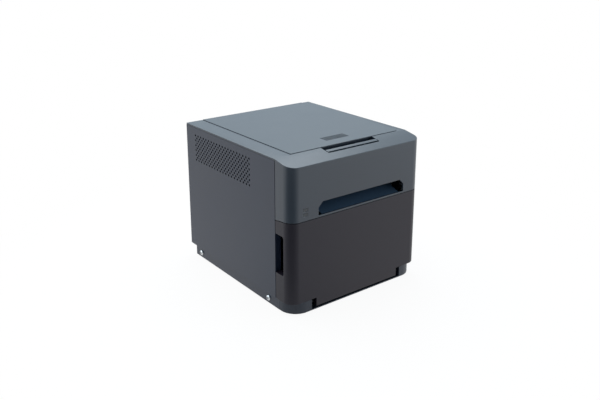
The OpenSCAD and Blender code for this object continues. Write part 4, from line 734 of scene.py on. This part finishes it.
# ---- Base front and door ----
# The corner posts are one ABS moulding in a darker grey than the casing's. The door is
# moulded in brown-black and turns on pins between the posts.

base_abs = grained("dark blue-grey moulded ABS", "#18202d", 0.42, 0.9, 0.02)
door_abs = grained("brown-black moulded ABS", "#18121d", 0.44, 0.9, 0.02, ior=1.42)
base_low, base_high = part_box("base_bezel")
base_radius = 0.024


def on_base(x, y, z):
    """Whether a place lies on the base's outer skin: a side, the front or a corner."""
    round_x = abs(x) - (base_high[0] - base_radius)
    round_y = base_low[1] + base_radius - y
    if round_x > 0 and round_y > 0:
        return abs(math.hypot(round_x, round_y) - base_radius) < on_skin_within
    return min(abs(base_high[0] - abs(x)), abs(y - base_low[1])) < on_skin_within


eased("base_bezel", 0.4, base_abs, on_base)
eased("front_door", 0.5, door_abs, on_casing)


# ---- Studio ----
# White paper sweep, a large softbox overhead, one behind on the left and one in front on the right.
# The camera's end of the room is darker, and the paper near the camera has painted shade that only
# reflections see.

from mathutils import Vector


def lamp(name, place, aim, width, height, power):
    """A rectangular softbox, in metres and watts, aimed at a place."""
    light = bpy.data.lights.new(name, "AREA")
    light.shape = "RECTANGLE"
    light.size = width
    light.size_y = height
    light.energy = power
    light.color = (0.92, 1.0, 1.06)      # daylight, a little cool
    body = bpy.data.objects.new(name, light)
    bpy.context.scene.collection.objects.link(body)
    body.location = place
    body.rotation_euler = (Vector(aim) - Vector(place)).to_track_quat("-Z", "Y").to_euler()


printer_middle = (0.0, 0.0, 0.1)
lamp("overhead softbox", (0.1, 0.5, 1.5), printer_middle, 1.8, 1.8, 32)
lamp("left softbox", (-1.5, 0.8, 0.6), printer_middle, 1.2, 1.2, 6.5)
lamp("right softbox", (1.3, -1.3, 0.6), printer_middle, 1.2, 1.2, 11)

bpy.ops.mesh.primitive_plane_add(size=8)
floor = bpy.context.object
floor.name = "floor"
paper = bpy.data.materials.new("white paper sweep")
paper.use_nodes = True
paper_shader = paper.node_tree.nodes["Principled BSDF"]
paper_shader.inputs["Roughness"].default_value = 0.9
ray = add_node(paper, "LightPath")
place = add_node(paper, "TexCoord")
# painted shade: near the camera the paper's colour turns dark grey for reflected rays only, so the
# printer mirrors a dark patch there
painted_dark_patch_middle, painted_patch_edge = (-0.55, -0.5, 0.0), {"From Min": 0.36, "From Max": 0.72}
lit_in_mirror, painted_dark_paper = 0.02, "#505050"
shade_from = add_node(paper, "VectorMath", {1: painted_dark_patch_middle}, {0: (place, "Object")},
                      operation="DISTANCE")
shade = add_node(paper, "MapRange", {**painted_patch_edge, "To Min": lit_in_mirror, "To Max": 1.0},
                 {"Value": (shade_from, "Value")}, interpolation_type="SMOOTHSTEP")
mirrored = add_node(paper, "Math", links={0: (ray, "Is Glossy Ray"), 1: (shade, "Result")},
                    operation="MULTIPLY")
painted_patch = add_node(paper, "Math", {0: 1.0}, {1: (shade, "Result")}, operation="SUBTRACT")
mirrored_painted_patch = add_node(paper, "Math", links={0: (ray, "Is Glossy Ray"), 1: (painted_patch, 0)},
                          operation="MULTIPLY")
# painted shade: the paper's grey, seen only in reflections, inside the patch near the camera
paper_tone = add_node(paper, "Mix", {"A": linear("#f4f4f4"), "B": linear(painted_dark_paper)},
                      {"Factor": (mirrored_painted_patch, 0)}, data_type="RGBA")
join(paper, paper_tone, "Result", paper_shader, "Base Color")
seen = add_node(paper, "Math", links={0: (ray, "Is Camera Ray"), 1: (mirrored, 0)},
                operation="ADD")
seen_too = add_node(paper, "Math", links={0: (seen, 0), 1: (ray, "Is Transmission Ray")},
                    operation="ADD")
# white to the camera, but for a share that keeps the shadow near the printer
white_near, shadow_edge = 0.93, {"From Min": 0.2, "From Max": 0.5}
from_middle = add_node(paper, "VectorMath", {1: (0.0, 0.0, 0.0)}, {0: (place, "Object")},
                       operation="DISTANCE")
whiteness = add_node(paper, "MapRange", {**shadow_edge, "To Min": white_near, "To Max": 1.0},
                     {"Value": (from_middle, "Value")}, interpolation_type="SMOOTHSTEP")
share = add_node(paper, "Math", links={0: (seen_too, 0), 1: (whiteness, "Result")},
                 operation="MULTIPLY")
glow = add_node(paper, "Emission", {"Color": linear("#ffffff"), "Strength": 1.0})
mixed = add_node(paper, "MixShader", links={0: (share, 0), 1: (paper_shader, 0), 2: (glow, 0)})
join(paper, mixed, 0, paper.node_tree.nodes["Material Output"], "Surface")
floor.data.materials.append(paper)

world = bpy.data.worlds.new("studio")
bpy.context.scene.world = world
world.use_nodes = True
sky = world.node_tree.nodes["Background"]
sky_ray = add_node(world, "LightPath")
# plain white to the camera, daylight a little cool on the printer
tint = add_node(world, "Mix", {"A": (0.94, 1.11, 1.22, 1.0), "B": (1.0, 1.0, 1.0, 1.0)},
                {"Factor": (sky_ray, "Is Camera Ray")}, data_type="RGBA")
join(world, tint, "Result", sky, "Color")
sky_place = add_node(world, "TexCoord")
# how far a direction points to the camera's end of the room
camera_end, end_level = (-0.6, -0.78, 0.15), 0.35
end_edge = {"From Min": 0.2, "From Max": 0.75}
toward = add_node(world, "VectorMath", {1: camera_end}, {0: (sky_place, "Generated")},
                  operation="DOT_PRODUCT")
sky_mirrored = add_node(world, "MapRange", {**end_edge, "To Min": 1.0, "To Max": end_level},
                        {"Value": (toward, "Value")}, interpolation_type="SMOOTHSTEP")
# the ceiling is dimmer than the walls
ceiling_level, ceiling_edge = 0.65, {"From Min": 0.42, "From Max": 0.62}
sky_height = add_node(world, "SeparateXYZ", links={"Vector": (sky_place, "Generated")})
ceiling = add_node(world, "MapRange", {**ceiling_edge, "To Min": 1.0, "To Max": ceiling_level},
                   {"Value": (sky_height, "Z")}, interpolation_type="SMOOTHSTEP")
sky_room = add_node(world, "Math", links={0: (sky_mirrored, "Result"), 1: (ceiling, "Result")},
                    operation="MULTIPLY")
sky_glossy = add_node(world, "Math", links={0: (sky_ray, "Is Glossy Ray"), 1: (sky_room, 0)},
                      operation="MULTIPLY")
sky_seen = add_node(world, "Math", links={0: (sky_ray, "Is Camera Ray"), 1: (sky_glossy, 0)},
                    operation="ADD")
sky_all = add_node(world, "Math", links={0: (sky_seen, 0), 1: (sky_ray, "Is Transmission Ray")},
                   operation="ADD")
room_light = 0.3                         # what the room adds to the lamps
sky_diffuse = add_node(world, "Math", {1: room_light}, {0: (sky_ray, "Is Diffuse Ray")},
                       operation="MULTIPLY")
sky_level = add_node(world, "Math", links={0: (sky_all, 0), 1: (sky_diffuse, 0)},
                     operation="ADD")
join(world, sky_level, 0, sky, "Strength")

# the photograph's camera: its turn and tilt in radians, its focal length in the photo's pixels
yaw, pitch = 0.6514, 0.2795
focal_pixels, photo_width, sensor_mm = 719.48, 600, 36
camera = bpy.data.objects.new("camera", bpy.data.cameras.new("camera"))
bpy.context.scene.collection.objects.link(camera)
camera.location = (-0.60362, -0.79054, 0.47744)
look = Vector((math.sin(yaw) * math.cos(pitch), math.cos(yaw) * math.cos(pitch), -math.sin(pitch)))
camera.rotation_euler = look.to_track_quat("-Z", "Y").to_euler()
camera.data.sensor_width = sensor_mm
camera.data.lens = focal_pixels * sensor_mm / photo_width
camera.data.shift_y = -0.1
bpy.context.scene.camera = camera
bpy.context.scene.view_settings.view_transform = "Standard"
